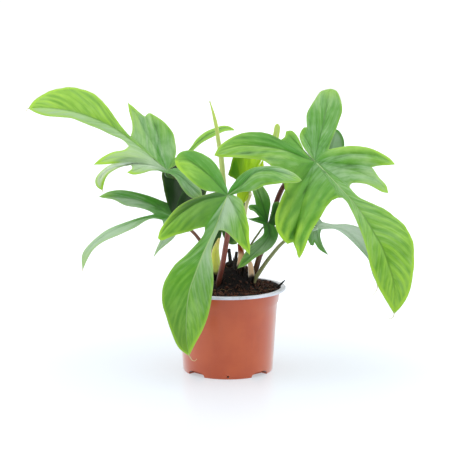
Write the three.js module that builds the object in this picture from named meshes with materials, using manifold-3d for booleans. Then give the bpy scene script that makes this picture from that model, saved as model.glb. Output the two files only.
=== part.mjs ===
// A florida philodendron in a round nursery pot. Millimetres, +Z up.
// The origin is the middle of the pot's flat underside, and the plant's front faces -Y.
import * as THREE from 'three';
import { mergeVertices } from 'three/addons/utils/BufferGeometryUtils.js';
import Module from 'manifold-3d';

const wasm = await Module();
wasm.setup();

// Clearance between neighbours that touch on the real plant
const GAP = 0.3;

// Pot
const POT_HEIGHT = 87;
const RIM_RADIUS = 60;
const LIP_DEPTH = 2.6;
const LIP_MOUTH = 54.8;
const LIP_ROOT_RISE = 0.3;
const LIP_EDGE = 1.2;
const RIM_BEVEL = 0.7;
const COLLAR_RADIUS = 54;
const COLLAR_FOOT_RADIUS = 52.5;
const COLLAR_FOOT = 71;
const COLLAR_FLARE = 2;
const WALL_TOP_RADIUS = 51.05;
const FOOT_RADIUS = 46.6;
const WALL = 1.3;
const FLOOR = 1.5;
const POT_SIDES = 48;
const NOTCH_COUNT = 4;
const NOTCH_WIDTH = 23.6;
const NOTCH_HEIGHT = 4.9;
const NOTCH_DEEP = 9;
const NOTCH_OVERRUN = 6;
// Half the arch of a notch: how far in from its end, and at what part of its height
const NOTCH_ARCH = [[0.8, 0.45], [3.6, 0.88]];
const DRAIN_HOLE_RADIUS = 1.1;
const DRAIN_HOLE_LIFT = 0.2;
const DRAIN_HOLE_SIDES = 8;
const DRAIN_HOLE_LENGTH = 8;

// Soil
const SOIL_LEVEL = 86.2;
const SOIL_SIDES = 40;
const SOIL_RINGS = [5, 10, 15, 20, 25, 31, 38, 46];
const MOUND = { across: 6.5, near: 4, height: 24, wide: 20.5, deep: 25, steep: 2.2 };
const LUMP = 0.6;
const LUMP_WAVES = { across: 0.43, shift: 1.3, near: 0.37, broad: 0.21, share: 0.6 };
const SOIL_SKIN = 0.1;
const ABOVE_SOIL = 60;
const ROOT_LEVEL = 72;

// Leaf blades
const BLADE = 0.7;
const RIB_DEPTH = 0.9;
const ROWS_TO_NOTCH = 3;
const ROW_LENGTH = 17;
const LEAST_ROWS = 3;
const MOST_ROWS = 9;
const VEIN_SLANT = 0.85;
const BULGE = 0.07;
const RIPPLE = 0.6;
const RIB_SAMPLES = 60;

// Stalks
const STALK_SIDES = 8;
const STUB_SIDES = 6;
const STALK_STEP = 11;
const STALK_SEAT = 0.35;
const NECK = 7;

// The plant is laid out as it is seen from the front, by an eye at this place. across and up
// are read on the upright plane through the pot's axis, and near is the distance that a
// point then comes forward from that plane, along its line of sight.
const EYE = new THREE.Vector3(-3, -1271, 334);

function seen([across, up, near]) {
  return new THREE.Vector3(across, 0, up).lerp(EYE, near / -EYE.y);
}

// Each leaf has a hub, where its stalk and all its ribs meet, and lobes in anticlockwise
// order round the hub, from one side of the open gap at the stalk to the other.
// A lobe's rib runs from the hub to its tip. Its clockwise and anticlockwise edges run from
// the notch beside them, or from the hub at the gap. slope says how far the blade comes
// forward for each millimetre across and up, away from a rib. notch is the cut between
// this lobe and the next.
const LEAVES = {
  high_left: {
    hub: [-62, 207, -5],
    slope: [-0.1, -0.9],
    stalk: [[-10, 72, -4], [-15, 100, -4], [-19, 125, -6], [-20.5, 150, -9], [-26, 172, -12],
      [-34, 187, -14], [-45, 197, -16]],
    lobes: [
      {
        rib: [[-50, 218, -18], [-36, 231, -34], [-24, 241, -50], [-13, 247, -64], [-4, 251, -76],
          [7, 248, -86]],
        clockwise: [[-45, 218], [-27, 235], [-13, 242.5], [-3.5, 247]],
        anticlockwise: [[-46, 223], [-39, 229], [-32, 239], [-22, 247], [-13, 250.5], [-4, 253],
          [4, 251]],
        slope: [0, -2],
        notch: [-54, 220],
      },
      {
        rib: [[-67, 228, -26], [-73, 248, -46], [-78, 265, -60]],
        clockwise: [[-52.6, 226], [-53.6, 236], [-56, 246], [-62.5, 254], [-70.5, 261]],
        anticlockwise: [[-81, 265]],
        notch: [-84, 262.3],
      },
      {
        rib: [[-73, 228, -26], [-85, 248, -44], [-93, 264, -55], [-101.5, 276, -62]],
        clockwise: [[-90.5, 266.5], [-96.5, 272.5]],
        anticlockwise: [[-97.3, 247], [-97.5, 256], [-100.2, 266.5]],
        notch: [-99.3, 241.5],
      },
      {
        rib: [[-74.5, 218, -14], [-99, 238.5, -26], [-116, 250.5, -32], [-131, 258, -36],
          [-147, 264, -38], [-165, 268.5, -38], [-184, 270.5, -36], [-202.5, 270.3, -32]],
        clockwise: [[-106.5, 249.5], [-118, 266], [-129.5, 280], [-142, 288], [-156.7, 291.2],
          [-168, 291], [-179, 288], [-190.5, 282.5], [-198, 276.5]],
        anticlockwise: [[-107, 238.5], [-117, 242.5], [-131, 249.3], [-149, 256.3], [-158.5, 260.3],
          [-171, 261.3], [-187, 263], [-198.5, 267.5]],
        notch: [-101, 232],
      },
      {
        rib: [[-83, 218, -10], [-106, 221, -4], [-124, 218, 0], [-137, 213, 4]],
        clockwise: [[-106, 228], [-117, 226], [-129, 220]],
        anticlockwise: [[-122, 213.5], [-135, 213]],
        notch: [-108, 215.5],
      },
      {
        rib: [[-91, 214, -11], [-104, 212.5, -15], [-117, 209.5, -18], [-128.5, 202, -16],
          [-131, 194, -12], [-128.2, 186.4, -8]],
        clockwise: [[-120, 213], [-127, 208.5], [-133, 202.5], [-135.8, 197], [-134.3, 190.3]],
        anticlockwise: [[-108.5, 210.8], [-117.6, 206.4], [-122.2, 202.9], [-125.6, 197.1],
          [-127.3, 191.5]],
        notch: [-99, 213],
      },
      {
        rib: [[-80, 212, -4], [-92, 208, 0], [-103, 205, 4]],
        clockwise: [[-98, 209]],
        anticlockwise: [[-79, 206.8], [-87, 204.2], [-97, 202.8]],
        notch: [-72, 207],
      },
      {
        rib: [[-50, 202, 0], [-37, 190, 10], [-26, 178, 20]],
        clockwise: [[-66.5, 205.3], [-59, 203.6], [-53, 198.6], [-47.5, 189.5], [-41, 181.5],
          [-36, 178.5]],
        anticlockwise: [[-53, 209.5], [-43, 205], [-37, 197], [-28, 188]],
      },
    ],
  },
  front: {
    hub: [-0.5, 181, 58],
    slope: [0, -0.75],
    stalk: [[-10.5, 72, 16], [-9.3, 92, 23], [-7.2, 102, 28], [-5, 112, 32], [-2.8, 126, 39],
      [-0.3, 141, 45], [1.5, 158, 49]],
    lobes: [
      {
        rib: [[-14, 197, 46], [-29, 210, 36], [-42, 218, 28], [-54, 217, 24]],
        clockwise: [[0, 187], [-2.8, 193], [-5.2, 200], [-9, 208.5], [-14.4, 216.2], [-21.9, 221.8],
          [-30, 226.2], [-39, 227.6], [-50, 225.2]],
        anticlockwise: [[-20.4, 185.7], [-29.6, 189.5], [-37.8, 196], [-42.5, 200.8], [-49, 207],
          [-53.5, 213]],
        notch: [-11.5, 185.2],
      },
      {
        rib: [[-24, 177, 63], [-44, 166, 69], [-60, 152, 73], [-72, 137, 72]],
        clockwise: [[-30, 180], [-39, 177], [-53, 168], [-65, 153], [-70, 145]],
        anticlockwise: [[-30, 147.4], [-38, 144.6], [-48, 142], [-57, 139], [-64, 136], [-69, 134.5]],
        notch: [-23.8, 148.8],
      },
      {
        rib: [[-6, 167, 66], [-12, 150, 74], [-19, 135, 81], [-26, 120, 86], [-34, 99, 91], [-39, 85, 93],
          [-42, 69, 93], [-43, 54, 92], [-43.5, 43, 90], [-43, 30, 87], [-40.5, 13, 83]],
        clockwise: [[-23.6, 143.5], [-27, 137.5], [-33, 130.5], [-43, 120], [-55, 109], [-64, 95],
          [-68, 83], [-68, 68], [-65, 58], [-59, 39], [-51, 21]],
        anticlockwise: [[-14.5, 134], [-17.5, 122], [-15.5, 108], [-15, 90], [-17, 73], [-20, 58],
          [-26, 41], [-33, 28]],
        notch: [-9.5, 145.5],
      },
      {
        rib: [[7, 168, 66], [13, 154, 74], [18.5, 135, 80], [22.5, 119.5, 82]],
        clockwise: [[-4, 145], [3, 139], [9, 133], [16.5, 126]],
        anticlockwise: [[13, 178], [16.5, 170], [20, 156], [22, 147], [21.5, 138], [23, 130]],
        notch: [5, 182],
      },
      {
        rib: [[13, 191, 55], [28, 205, 50], [43, 207, 48], [64, 202, 49], [75.5, 197, 51]],
        clockwise: [[14, 185], [28, 186.5], [38, 192], [48, 193], [61, 194.5], [72, 194.5]],
        anticlockwise: [[0.9, 187], [4, 191.3], [8, 196.5], [13, 202.6], [25, 209.5], [38, 211.5],
          [50, 211.3], [61, 207.5], [70, 202.5]],
      },
    ],
  },
  right: {
    hub: [88.5, 216.5, 14],
    slope: [-0.1, -0.8],
    stalk: [[22.5, 72, -2], [25.7, 94, 0], [28.6, 104, 1], [33.5, 121, 3], [43.5, 147, 4], [49.5, 174, 3],
      [59, 194, 0], [74, 206, -2]],
    lobes: [
      {
        rib: [[77, 228, 6], [66, 239, -3], [59, 247, -9]],
        clockwise: [[80.5, 221], [76.7, 229.3], [73, 237.2], [70, 242.8], [64.5, 248]],
        anticlockwise: [[57.5, 241]],
        notch: [54, 238.5],
      },
      {
        rib: [[79, 219.5, 12], [56, 228.5, 6], [34, 232, 6], [10, 232, 10], [-9, 226, 15],
          [-14, 222.5, 16]],
        clockwise: [[45.5, 243], [34, 246], [23.5, 246.5], [11, 244], [-1, 238], [-9, 231.5]],
        anticlockwise: [[42, 213], [35, 218], [20.5, 219.5], [3.5, 220.5], [-10, 221]],
        notch: [52, 205],
      },
      {
        rib: [[75, 192, 30], [63, 164, 48], [58, 144, 58], [61, 131, 62]],
        clockwise: [[60.5, 193], [56, 182], [51.5, 170], [48.5, 161.5], [48.5, 153], [51.5, 142],
          [58, 134]],
        anticlockwise: [[64, 132]],
        notch: [67, 133],
      },
      {
        rib: [[84, 192, 32], [79, 164, 52], [75, 137, 66], [73.5, 116, 74]],
        clockwise: [[70, 126], [72, 118.5]],
        anticlockwise: [[111, 179.5], [102, 171], [97, 162], [90, 151], [84, 140], [80, 129],
          [76.5, 120.5]],
        notch: [117, 179],
      },
      {
        rib: [[102, 203, 24], [117, 187, 34], [131, 171, 43], [143, 154.5, 51], [151, 141, 57],
          [159, 127.5, 62], [165, 111.5, 65], [170, 97, 66], [172.5, 80.5, 65], [172.5, 57.5, 60]],
        clockwise: [[121, 176], [127, 165], [134, 150], [143, 125], [146, 111], [151, 97], [156, 85],
          [163, 73]],
        anticlockwise: [[134, 179.5], [140, 176.5], [151, 172], [164, 165], [172, 159], [184, 147],
          [191, 131], [192, 115], [191, 96.5], [187, 78], [180, 65.5]],
        notch: [124.5, 189.5],
      },
      {
        rib: [[110, 210.5, 15], [134, 205, 14], [151, 197, 17], [164.3, 184, 24]],
        clockwise: [[125.5, 193.7], [141.5, 193], [150.5, 189], [158.5, 184.8]],
        anticlockwise: [[154, 200.5], [161.5, 192]],
        notch: [147, 210.5],
      },
      {
        rib: [[109, 222, 8], [133, 224, 2], [153, 221, 2], [170.5, 213.3, 7]],
        clockwise: [[156, 212.3], [164, 212.3]],
        anticlockwise: [[115, 231], [129.5, 232], [143.7, 230], [156, 225], [166, 218.8]],
        notch: [102.5, 228.5],
      },
      {
        rib: [[91, 230, 3], [94, 243, -8], [97, 256, -20], [101, 279, -40], [103.5, 290, -49]],
        clockwise: [[106, 239], [110, 249], [113, 258], [116, 268], [115, 276], [113, 282.5], [109, 289]],
        anticlockwise: [[80, 265], [88, 279], [94, 287.5]],
        notch: [80, 251],
      },
      {
        rib: [[84, 231, 2], [78, 242, -7], [75, 248.5, -11]],
        clockwise: [[77.5, 251]],
        anticlockwise: [[83.5, 222], [77.3, 230], [74.2, 236.5], [72.6, 242.5]],
      },
    ],
  },
  low_left: {
    hub: [-56, 159, -8],
    slope: [0, -0.9],
    stalk: [[-16, 72, -12], [-17, 100, -12], [-22.5, 122.5, -11], [-29, 135, -10], [-37, 144.5, -10],
      [-46, 151, -13]],
    lobes: [
      {
        rib: [[-50, 177, -24], [-43, 192, -38], [-38, 208, -52], [-36, 219, -62]],
        clockwise: [[-46, 163], [-34, 168], [-24, 180], [-20, 194], [-26, 210]],
        anticlockwise: [[-64.8, 184], [-66.6, 195], [-67.6, 204], [-60, 214], [-46, 220]],
        notch: [-62.4, 173.8],
      },
      {
        rib: [[-80, 173, -16], [-106, 179, -24], [-132, 180, -30]],
        clockwise: [[-81, 181], [-96, 185], [-111, 187], [-123, 185]],
        anticlockwise: [[-81, 165.5], [-93, 169], [-105.5, 171], [-117, 177], [-129, 179]],
        notch: [-75.5, 162],
      },
      {
        rib: [[-81, 159, 0], [-105, 151, 14], [-127, 140, 26], [-143, 126, 36], [-149, 115, 40],
          [-150, 104, 42]],
        clockwise: [[-90.5, 158.5], [-107, 153], [-123, 146.5], [-135.5, 137.5], [-146, 127],
          [-150.5, 119.5]],
        anticlockwise: [[-76, 158], [-85, 155], [-93, 149.5], [-111, 141], [-129, 133], [-139, 125],
          [-146, 113]],
        slope: [0.3, -1.3],
        notch: [-67.5, 156],
      },
      {
        rib: [[-62, 145, 4], [-67, 132, 12], [-76.8, 117, 20]],
        clockwise: [[-66, 150], [-66.5, 142], [-70, 134], [-74, 125]],
        anticlockwise: [[-51, 150], [-55, 138], [-64, 130], [-71, 124]],
      },
    ],
  },
  young: {
    hub: [21.5, 185, -18],
    slope: [0.2, -0.4],
    stalk: [[10, 72, -10], [12, 100, -12], [15.5, 130, -17], [17.5, 161, -22], [19.6, 173.5, -23]],
    lobes: [
      {
        rib: [[26, 193, -18], [31, 204, -20], [36, 219, -26]],
        clockwise: [[27, 188], [33, 198], [36.5, 209]],
        anticlockwise: [[33, 214]],
        notch: [29, 206],
      },
      {
        rib: [[24, 199, -21], [31, 214, -30], [42, 231, -38], [48.5, 242, -42], [50.5, 255, -46]],
        clockwise: [[36, 220], [45.5, 228], [51, 238], [52.8, 247], [53, 253]],
        anticlockwise: [[25, 228], [38, 235], [45.3, 242], [46.9, 249], [47.8, 254]],
        notch: [16, 225],
      },
      {
        rib: [[14, 197, -18], [10, 209, -18], [7, 226, -22]],
        clockwise: [[12, 227]],
        anticlockwise: [[8, 198], [-0.3, 202.6], [1.8, 207.5], [4, 217]],
        notch: [12, 190],
      },
      {
        rib: [[18.5, 180, -19], [15.5, 172.5, -20]],
        clockwise: [[9, 181]],
        anticlockwise: [[20.3, 178]],
      },
    ],
  },
  small: {
    hub: [41, 153, 26],
    slope: [0.2, -0.7],
    stalk: [[17, 72, 12], [17.5, 112, 14], [24, 130.5, 17], [31, 141.5, 18], [37, 149, 18]],
    lobes: [
      {
        rib: [[37, 168, 20], [32, 182, 14], [27, 196, 8]],
        clockwise: [[42.5, 164], [43.8, 172], [42, 181], [37.3, 189], [31.8, 195]],
        anticlockwise: [[27.5, 178], [25, 187]],
        notch: [28.5, 172],
      },
      {
        rib: [[34, 162, 22], [27, 168, 18], [21, 169, 15]],
        clockwise: [[25.5, 172], [22.2, 171.5]],
        anticlockwise: [[26, 165.5], [22.5, 166.5]],
        notch: [32, 159.5],
      },
      {
        rib: [[35, 155.5, 24], [27, 156.5, 22], [19.5, 157.5, 20]],
        clockwise: [[26, 158]],
        anticlockwise: [[26, 154.8]],
        notch: [36, 151.5],
      },
      {
        rib: [[43, 141, 27], [35, 129, 29], [25, 119.5, 31], [10, 105.5, 34]],
        clockwise: [[37, 142], [30, 135], [22, 128], [14, 115]],
        anticlockwise: [[52, 141.5], [48, 131], [41, 124], [28, 116.5], [17, 108]],
        notch: [48, 150],
      },
      {
        rib: [[46.5, 159, 24], [50, 167, 21], [51.5, 175, 18]],
        clockwise: [[54, 154], [57.5, 161], [57.5, 170]],
        anticlockwise: [[44.3, 159], [45.2, 169], [47, 174]],
      },
    ],
  },
  low_right: {
    hub: [91, 150, -36],
    slope: [0, 0.5],
    turned: true,
    stalk: [[24, 72, 13], [27, 92, 12], [32.5, 101.5, 8], [43.5, 117.5, -2], [57, 133, -14],
      [74.5, 144.5, -25]],
    lobes: [
      {
        rib: [[89, 141, -38], [85, 130, -40]],
        clockwise: [[84, 146], [82, 137]],
        anticlockwise: [[88, 129.5]],
        notch: [89, 133],
      },
      {
        rib: [[93, 139, -39], [97, 129, -43], [103.5, 119.5, -47]],
        clockwise: [[94, 125.5]],
        anticlockwise: [[94.5, 141], [98, 129]],
        notch: [96, 146],
      },
      {
        rib: [[101, 149, -40], [118, 146.5, -50], [130, 138, -58], [143, 122, -66], [149, 104, -70],
          [154, 90, -72]],
        clockwise: [[108.5, 147], [115.5, 144], [127, 134.5], [137.5, 123.5], [145.5, 114], [149, 100]],
        anticlockwise: [[108.5, 151.5], [118, 152], [127, 151], [138, 147], [150, 133], [156, 114],
          [156, 98]],
        notch: [97, 154],
      },
      {
        rib: [[87, 164, -32], [86, 178, -28], [87, 193, -25]],
        clockwise: [[92, 161], [94, 173], [92, 186]],
        anticlockwise: [[78, 173], [80, 186]],
        notch: [82, 163],
      },
      {
        rib: [[82, 156, -34], [74, 163, -32], [66, 170, -30]],
        clockwise: [[76, 169], [70, 172]],
        anticlockwise: [[82, 150.5], [73, 155], [67, 163]],
      },
    ],
  },
  back_right: {
    hub: [104, 212, -58],
    slope: [0, 0.5],
    turned: true,
    stalk: [[20, 72, -18], [26, 100, -20], [45, 140, -34], [75, 180, -46], [94, 200, -50]],
    lobes: [
      {
        rib: [[106, 200, -64], [110, 186, -72]],
        clockwise: [[99, 203], [102, 192]],
        anticlockwise: [[114, 194]],
        notch: [114, 203],
      },
      {
        rib: [[120, 212, -64], [134, 208, -74], [146, 203, -84]],
        clockwise: [[124, 203], [136, 200]],
        anticlockwise: [[124, 219], [138, 214]],
        notch: [114, 222],
      },
      {
        rib: [[105, 226, -50], [107.5, 240, -43], [109, 249.3, -39]],
        clockwise: [[118.5, 232], [117.8, 239], [115, 245], [112, 248.3]],
        anticlockwise: [[97, 234], [101, 245]],
        notch: [98, 222],
      },
      {
        rib: [[92, 213, -60], [80, 214, -64], [70, 214, -70]],
        clockwise: [[88, 220], [77, 219]],
        anticlockwise: [[96, 206], [84, 208], [76, 210]],
      },
    ],
  },
  back_low: {
    hub: [-6, 161, -34],
    slope: [0, -0.7],
    stalk: [[-9, 72, -16], [-7.5, 104, -22], [-4.5, 120, -28], [-1.5, 138, -37], [-3, 150, -42]],
    lobes: [
      {
        rib: [[-1, 148, -26], [5, 138, -20], [9, 131, -15]],
        clockwise: [[-6.5, 149], [-4, 137], [3, 130.5]],
        anticlockwise: [[9, 148], [11, 138]],
        notch: [5, 157],
      },
      {
        rib: [[6, 166, -42], [13, 170, -54], [20, 172, -66]],
        clockwise: [[14, 162]],
        anticlockwise: [[13, 177]],
        notch: [4, 176],
      },
      {
        rib: [[-6, 171, -46], [-7, 177, -60], [-8, 182, -76], [-9, 186, -92]],
        clockwise: [[0, 178], [-3, 184]],
        anticlockwise: [[-14, 178], [-13, 184]],
        notch: [-16, 176],
      },
      {
        rib: [[-18, 164, -44], [-30, 168, -58], [-40, 170, -72]],
        clockwise: [[-28, 177], [-37, 175]],
        anticlockwise: [[-28, 157], [-37, 163]],
        notch: [-17, 150],
      },
      {
        rib: [[-11, 148, -27], [-14, 134, -19], [-16, 123, -13]],
        clockwise: [[-20, 140], [-19, 128]],
        anticlockwise: [[-6, 146.5], [-7.3, 138], [-9.5, 133], [-12, 128]],
      },
    ],
  },
};

// Stalk radii at the soil, halfway and at the blade
const STALK_RADII = {
  high_left: [2.9, 2.3, 1.6],
  front: [2.7, 2.7, 2.3],
  right: [3.0, 2.9, 2.1],
  low_left: [2.4, 2.0, 1.4],
  young: [2.2, 1.9, 1.9],
  small: [1.4, 1.2, 0.9],
  low_right: [2.4, 2.0, 1.4],
  back_right: [2.4, 2.0, 1.4],
  back_low: [2.2, 1.8, 1.3],
};

// The rolled new leaf: its path and its radius along it
const SPEAR = [[-9, 72, 4], [-6.5, 108, 3], [-0.8, 138, -2], [-2.8, 176, -8], [-5, 199, -12], [-7, 220, -15],
  [-10, 239, -17], [-12, 253, -18], [-15, 266, -18], [-18.5, 277.5, -18]];
const SPEAR_RADII = [2.4, 2.0, 1.9, 1.9, 1.9, 2.1, 2.7, 2.8, 2.3, 1.9, 0.5];

// Sheaths: the path of the back, and the radius and the opening of the rolled sheet along it
const SHEATHS = {
  sheath_green: {
    path: [[-12, 92, 15], [-12.5, 113, 16], [-12.5, 126, 17], [-9, 137, 18]],
    radii: [3.8, 4.6, 3.6, 0.9],
  },
  sheath_peach: {
    path: [[13, 96, 22], [13.5, 108, 23], [14, 119, 24], [11, 131, 26]],
    radii: [3.0, 3.6, 3.0, 0.9],
  },
  sheath_pale: {
    path: [[24, 88, 20], [24, 103, 21], [22.8, 111, 22], [19.2, 119, 23]],
    radii: [1.8, 2.7, 2.4, 0.8],
  },
};
const SHEATH_WRAP = Math.PI * 1.15;
const SHEATH_THICK = 0.8;
const SHEATH_STEPS = 6;
const SHEATH_COLUMNS = 6;
const SHEATH_HOLE = { sides: 10, step: 4 };

// Dead stubs of old stalks and the chip of bark at the rim
const STUBS = {
  stub_left: { path: [[2, 92, 8], [2.6, 110, 8.5], [1, 126, 9]], radii: [2.2, 2.0, 1.7] },
  stub_right: { path: [[6, 88, 16], [7, 106, 16], [9, 123, 16]], radii: [2.6, 2.1, 1.5] },
};
const TWIG = {
  path: [[46, 76, 4], [49.8, 84, 4], [54.2, 88.4, 4], [59.2, 93.4, 4]],
  radii: [1.3, 1.3, 1.2, 0.6],
};

const COLOURS = {
  pot: 0xb4654a,
  soil: 0x2a201b,
  blade: 0x5da83a,
  youngBlade: 0xa9cf3f,
  darkBlade: 0x3f7d35,
  paleBlade: 0x8fb48c,
  redStalk: 0x8d4a44,
  oliveStalk: 0x6f7a4a,
  greenStalk: 0x9fbf6a,
  peach: 0xd9a57c,
  dark: 0x3a2a22,
};

// Turns a three.js geometry into one welded surface with no collapsed triangles.
function weld(geometry) {
  const bare = new THREE.BufferGeometry();
  bare.setAttribute('position', geometry.getAttribute('position'));
  bare.setIndex(geometry.index);
  const merged = mergeVertices(bare, 1e-3);
  const index = merged.index.array;
  const kept = [];
  for (let i = 0; i < index.length; i += 3) {
    const [a, b, c] = [index[i], index[i + 1], index[i + 2]];
    if (a !== b && b !== c && c !== a) kept.push(a, b, c);
  }
  merged.setIndex(kept);
  return merged;
}

function toSolid(geometry) {
  const welded = weld(geometry);
  return new wasm.Manifold(new wasm.Mesh({
    numProp: 3,
    vertProperties: new Float32Array(welded.getAttribute('position').array),
    triVerts: new Uint32Array(welded.index.array),
  }));
}

function toGeometry(solid) {
  const mesh = solid.getMesh();
  const geometry = new THREE.BufferGeometry();
  geometry.setAttribute('position', new THREE.BufferAttribute(new Float32Array(mesh.vertProperties), 3));
  geometry.setIndex(new THREE.BufferAttribute(new Uint32Array(mesh.triVerts), 1));
  return geometry;
}

function fromLists(points, corners) {
  const geometry = new THREE.BufferGeometry();
  const numbers = points.flatMap((p) => p.toArray());
  geometry.setAttribute('position', new THREE.Float32BufferAttribute(numbers, 3));
  geometry.setIndex(corners);
  return geometry;
}

const smooth = (points) => new THREE.CatmullRomCurve3(points, false, 'centripetal');

// A value read along a list of numbers at a fraction from 0 to 1
function along(values, fraction) {
  const place = fraction * (values.length - 1);
  const low = Math.min(Math.floor(place), values.length - 2);
  return THREE.MathUtils.lerp(values[low], values[low + 1], place - low);
}

// A solid round tube whose radius changes along a path
function taperedTube(points, radii, sides, step) {
  const curve = smooth(points);
  const steps = Math.max(2, Math.ceil(curve.getLength() / step));
  const frames = curve.computeFrenetFrames(steps, false);
  const corners = [];
  const rings = [];
  for (let i = 0; i <= steps; i++) {
    const centre = curve.getPointAt(i / steps);
    const radius = along(radii, i / steps);
    for (let j = 0; j < sides; j++) {
      const angle = (j / sides) * 2 * Math.PI;
      rings.push(centre.clone()
        .addScaledVector(frames.normals[i], radius * Math.cos(angle))
        .addScaledVector(frames.binormals[i], radius * Math.sin(angle)));
    }
  }
  const at = (i, j) => i * sides + (j % sides);
  for (let i = 0; i < steps; i++) {
    for (let j = 0; j < sides; j++) {
      corners.push(at(i, j), at(i, j + 1), at(i + 1, j + 1));
      corners.push(at(i, j), at(i + 1, j + 1), at(i + 1, j));
    }
  }
  for (let j = 1; j < sides - 1; j++) {
    corners.push(at(0, 0), at(0, j + 1), at(0, j));
    corners.push(at(steps, 0), at(steps, j), at(steps, j + 1));
  }
  return fromLists(rings, corners);
}

// Gives a sheet its thickness: both faces have the same triangles, and the open edges are
// closed by a rim. extra adds to the thickness of the underside at each point.
function thicken(sheet, thickness, extra = () => 0) {
  const place = sheet.getAttribute('position');
  const index = [...sheet.index.array];
  sheet.computeVertexNormals();
  const normal = sheet.getAttribute('normal');
  const upper = [];
  const under = [];
  for (let i = 0; i < place.count; i++) {
    const point = new THREE.Vector3().fromBufferAttribute(place, i);
    const out = new THREE.Vector3().fromBufferAttribute(normal, i);
    upper.push(point.clone().addScaledVector(out, thickness / 2));
    under.push(point.clone().addScaledVector(out, -thickness / 2 - extra(i)));
  }
  const count = place.count;
  const corners = [...index];
  const edges = new Set();
  for (let i = 0; i < index.length; i += 3) {
    corners.push(index[i] + count, index[i + 2] + count, index[i + 1] + count);
    for (let k = 0; k < 3; k++) edges.add(`${index[i + k]},${index[i + ((k + 1) % 3)]}`);
  }
  for (const edge of edges) {
    const [a, b] = edge.split(',').map(Number);
    if (edges.has(`${b},${a}`)) continue;
    corners.push(a + count, b + count, b);
    corners.push(a + count, b, a);
  }
  return fromLists([...upper, ...under], corners);
}

// The place on a rib that lies nearest to a point, as it is seen from the front
function nearestOnRib(rib, across, up) {
  let best = null;
  for (let i = 0; i <= RIB_SAMPLES; i++) {
    const point = rib.getPointAt(i / RIB_SAMPLES);
    const distance = Math.hypot(point.x - across, point.y - up);
    if (!best || distance < best.distance) best = { distance, point, fraction: i / RIB_SAMPLES };
  }
  return best;
}

// A point on the blade beside a rib: it comes forward from the rib by the blade's slope.
function besideRib(rib, slope, [across, up]) {
  const { point } = nearestOnRib(rib, across, up);
  const near = point.z + slope[0] * (across - point.x) + slope[1] * (up - point.y);
  return new THREE.Vector3(across, up, near);
}

// One lobe: its rib, its two edges as curves, and the fraction of the rib at its notches
function readLobe(leaf, i) {
  const lobe = leaf.lobes[i];
  const slope = lobe.slope ?? leaf.slope;
  const hub = new THREE.Vector3(...leaf.hub);
  const rib = smooth([hub, ...lobe.rib.map((p) => new THREE.Vector3(...p))]);
  const rows = THREE.MathUtils.clamp(Math.round(rib.getLength() / ROW_LENGTH), LEAST_ROWS, MOST_ROWS);
  return { lobe, slope, rib, rows, hub, tip: rib.getPointAt(1) };
}

function notchPoint(one, next, place) {
  const a = besideRib(one.rib, one.slope, place);
  const b = besideRib(next.rib, next.slope, place);
  return a.lerp(b, 0.5);
}

// The blade's middle surface, as a welded grid with one fan of rows for each half lobe
function bladeSheet(leaf) {
  const lobes = leaf.lobes.map((_, i) => readLobe(leaf, i));
  const last = lobes.length - 1;
  lobes.forEach((it, i) => {
    if (i < last) it.notchAfter = notchPoint(it, lobes[i + 1], it.lobe.notch);
  });
  lobes.forEach((it, i) => {
    it.notchBefore = i > 0 ? lobes[i - 1].notchAfter : null;
    const cuts = [it.notchBefore, it.notchAfter].filter(Boolean);
    const fractions = cuts.map((n) => nearestOnRib(it.rib, n.x, n.y).fraction);
    it.foot = VEIN_SLANT * fractions.reduce((a, b) => a + b, 0) / fractions.length;
    const beside = (points) => points.map((p) => besideRib(it.rib, it.slope, p));
    const edge = (start, points) => smooth([start, ...beside(points), it.tip]);
    it.before = edge(it.notchBefore ?? it.hub, it.lobe.clockwise);
    it.after = edge(it.notchAfter ?? it.hub, it.lobe.anticlockwise);
  });

  const points = [];
  const corners = [];
  const ribExtra = [];
  // The line from the hub to a notch, which the two lobes beside it share
  const seam = (one, next, notch, u) => {
    const middle = (v) => one.rib.getPointAt(one.foot * v).lerp(next.rib.getPointAt(next.foot * v), 0.5);
    return middle(u).addScaledVector(notch.clone().sub(middle(1)), u);
  };
  const addHalf = (it, neighbour, anticlockwise) => {
    const notch = anticlockwise ? it.notchAfter : it.notchBefore;
    const edge = anticlockwise ? it.after : it.before;
    const total = ROWS_TO_NOTCH + it.rows;
    const start = points.length;
    for (let k = 0; k <= total; k++) {
      const inner = k <= ROWS_TO_NOTCH;
      const outward = (k - ROWS_TO_NOTCH) / it.rows;
      const s = inner ? (it.foot * k) / ROWS_TO_NOTCH : it.foot + (1 - it.foot) * outward;
      const onRib = it.rib.getPointAt(s);
      let onEdge;
      if (!notch) onEdge = edge.getPointAt(k / total);
      else if (inner) {
        const [one, next] = anticlockwise ? [it, neighbour] : [neighbour, it];
        onEdge = seam(one, next, notch, k / ROWS_TO_NOTCH);
      } else onEdge = edge.getPointAt(outward);
      const width = onRib.distanceTo(onEdge);
      const lift = new THREE.Vector3(-it.slope[0], -it.slope[1], 1).normalize();
      const open = !notch || !inner;
      const wave = open && k < total && k % 2 ? RIPPLE : 0;
      for (let j = 0; j <= 2; j++) {
        const t = j / 2;
        const point = onRib.clone().lerp(onEdge, t);
        point.addScaledVector(lift, j === 1 ? BULGE * width : j === 2 ? -wave : 0);
        points.push(seen(point.toArray()));
        ribExtra.push(j === 0 ? RIB_DEPTH * (1 - s) : 0);
      }
    }
    for (let k = 0; k < total; k++) {
      for (let j = 0; j < 2; j++) {
        const [a, b] = [start + k * 3 + j, start + (k + 1) * 3 + j];
        if (anticlockwise) corners.push(a, b, b + 1, a, b + 1, a + 1);
        else corners.push(a, b + 1, b, a, a + 1, b + 1);
      }
    }
  };
  lobes.forEach((it, i) => {
    addHalf(it, lobes[i - 1], false);
    addHalf(it, lobes[i + 1], true);
  });
  return { points, corners, ribExtra };
}

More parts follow.
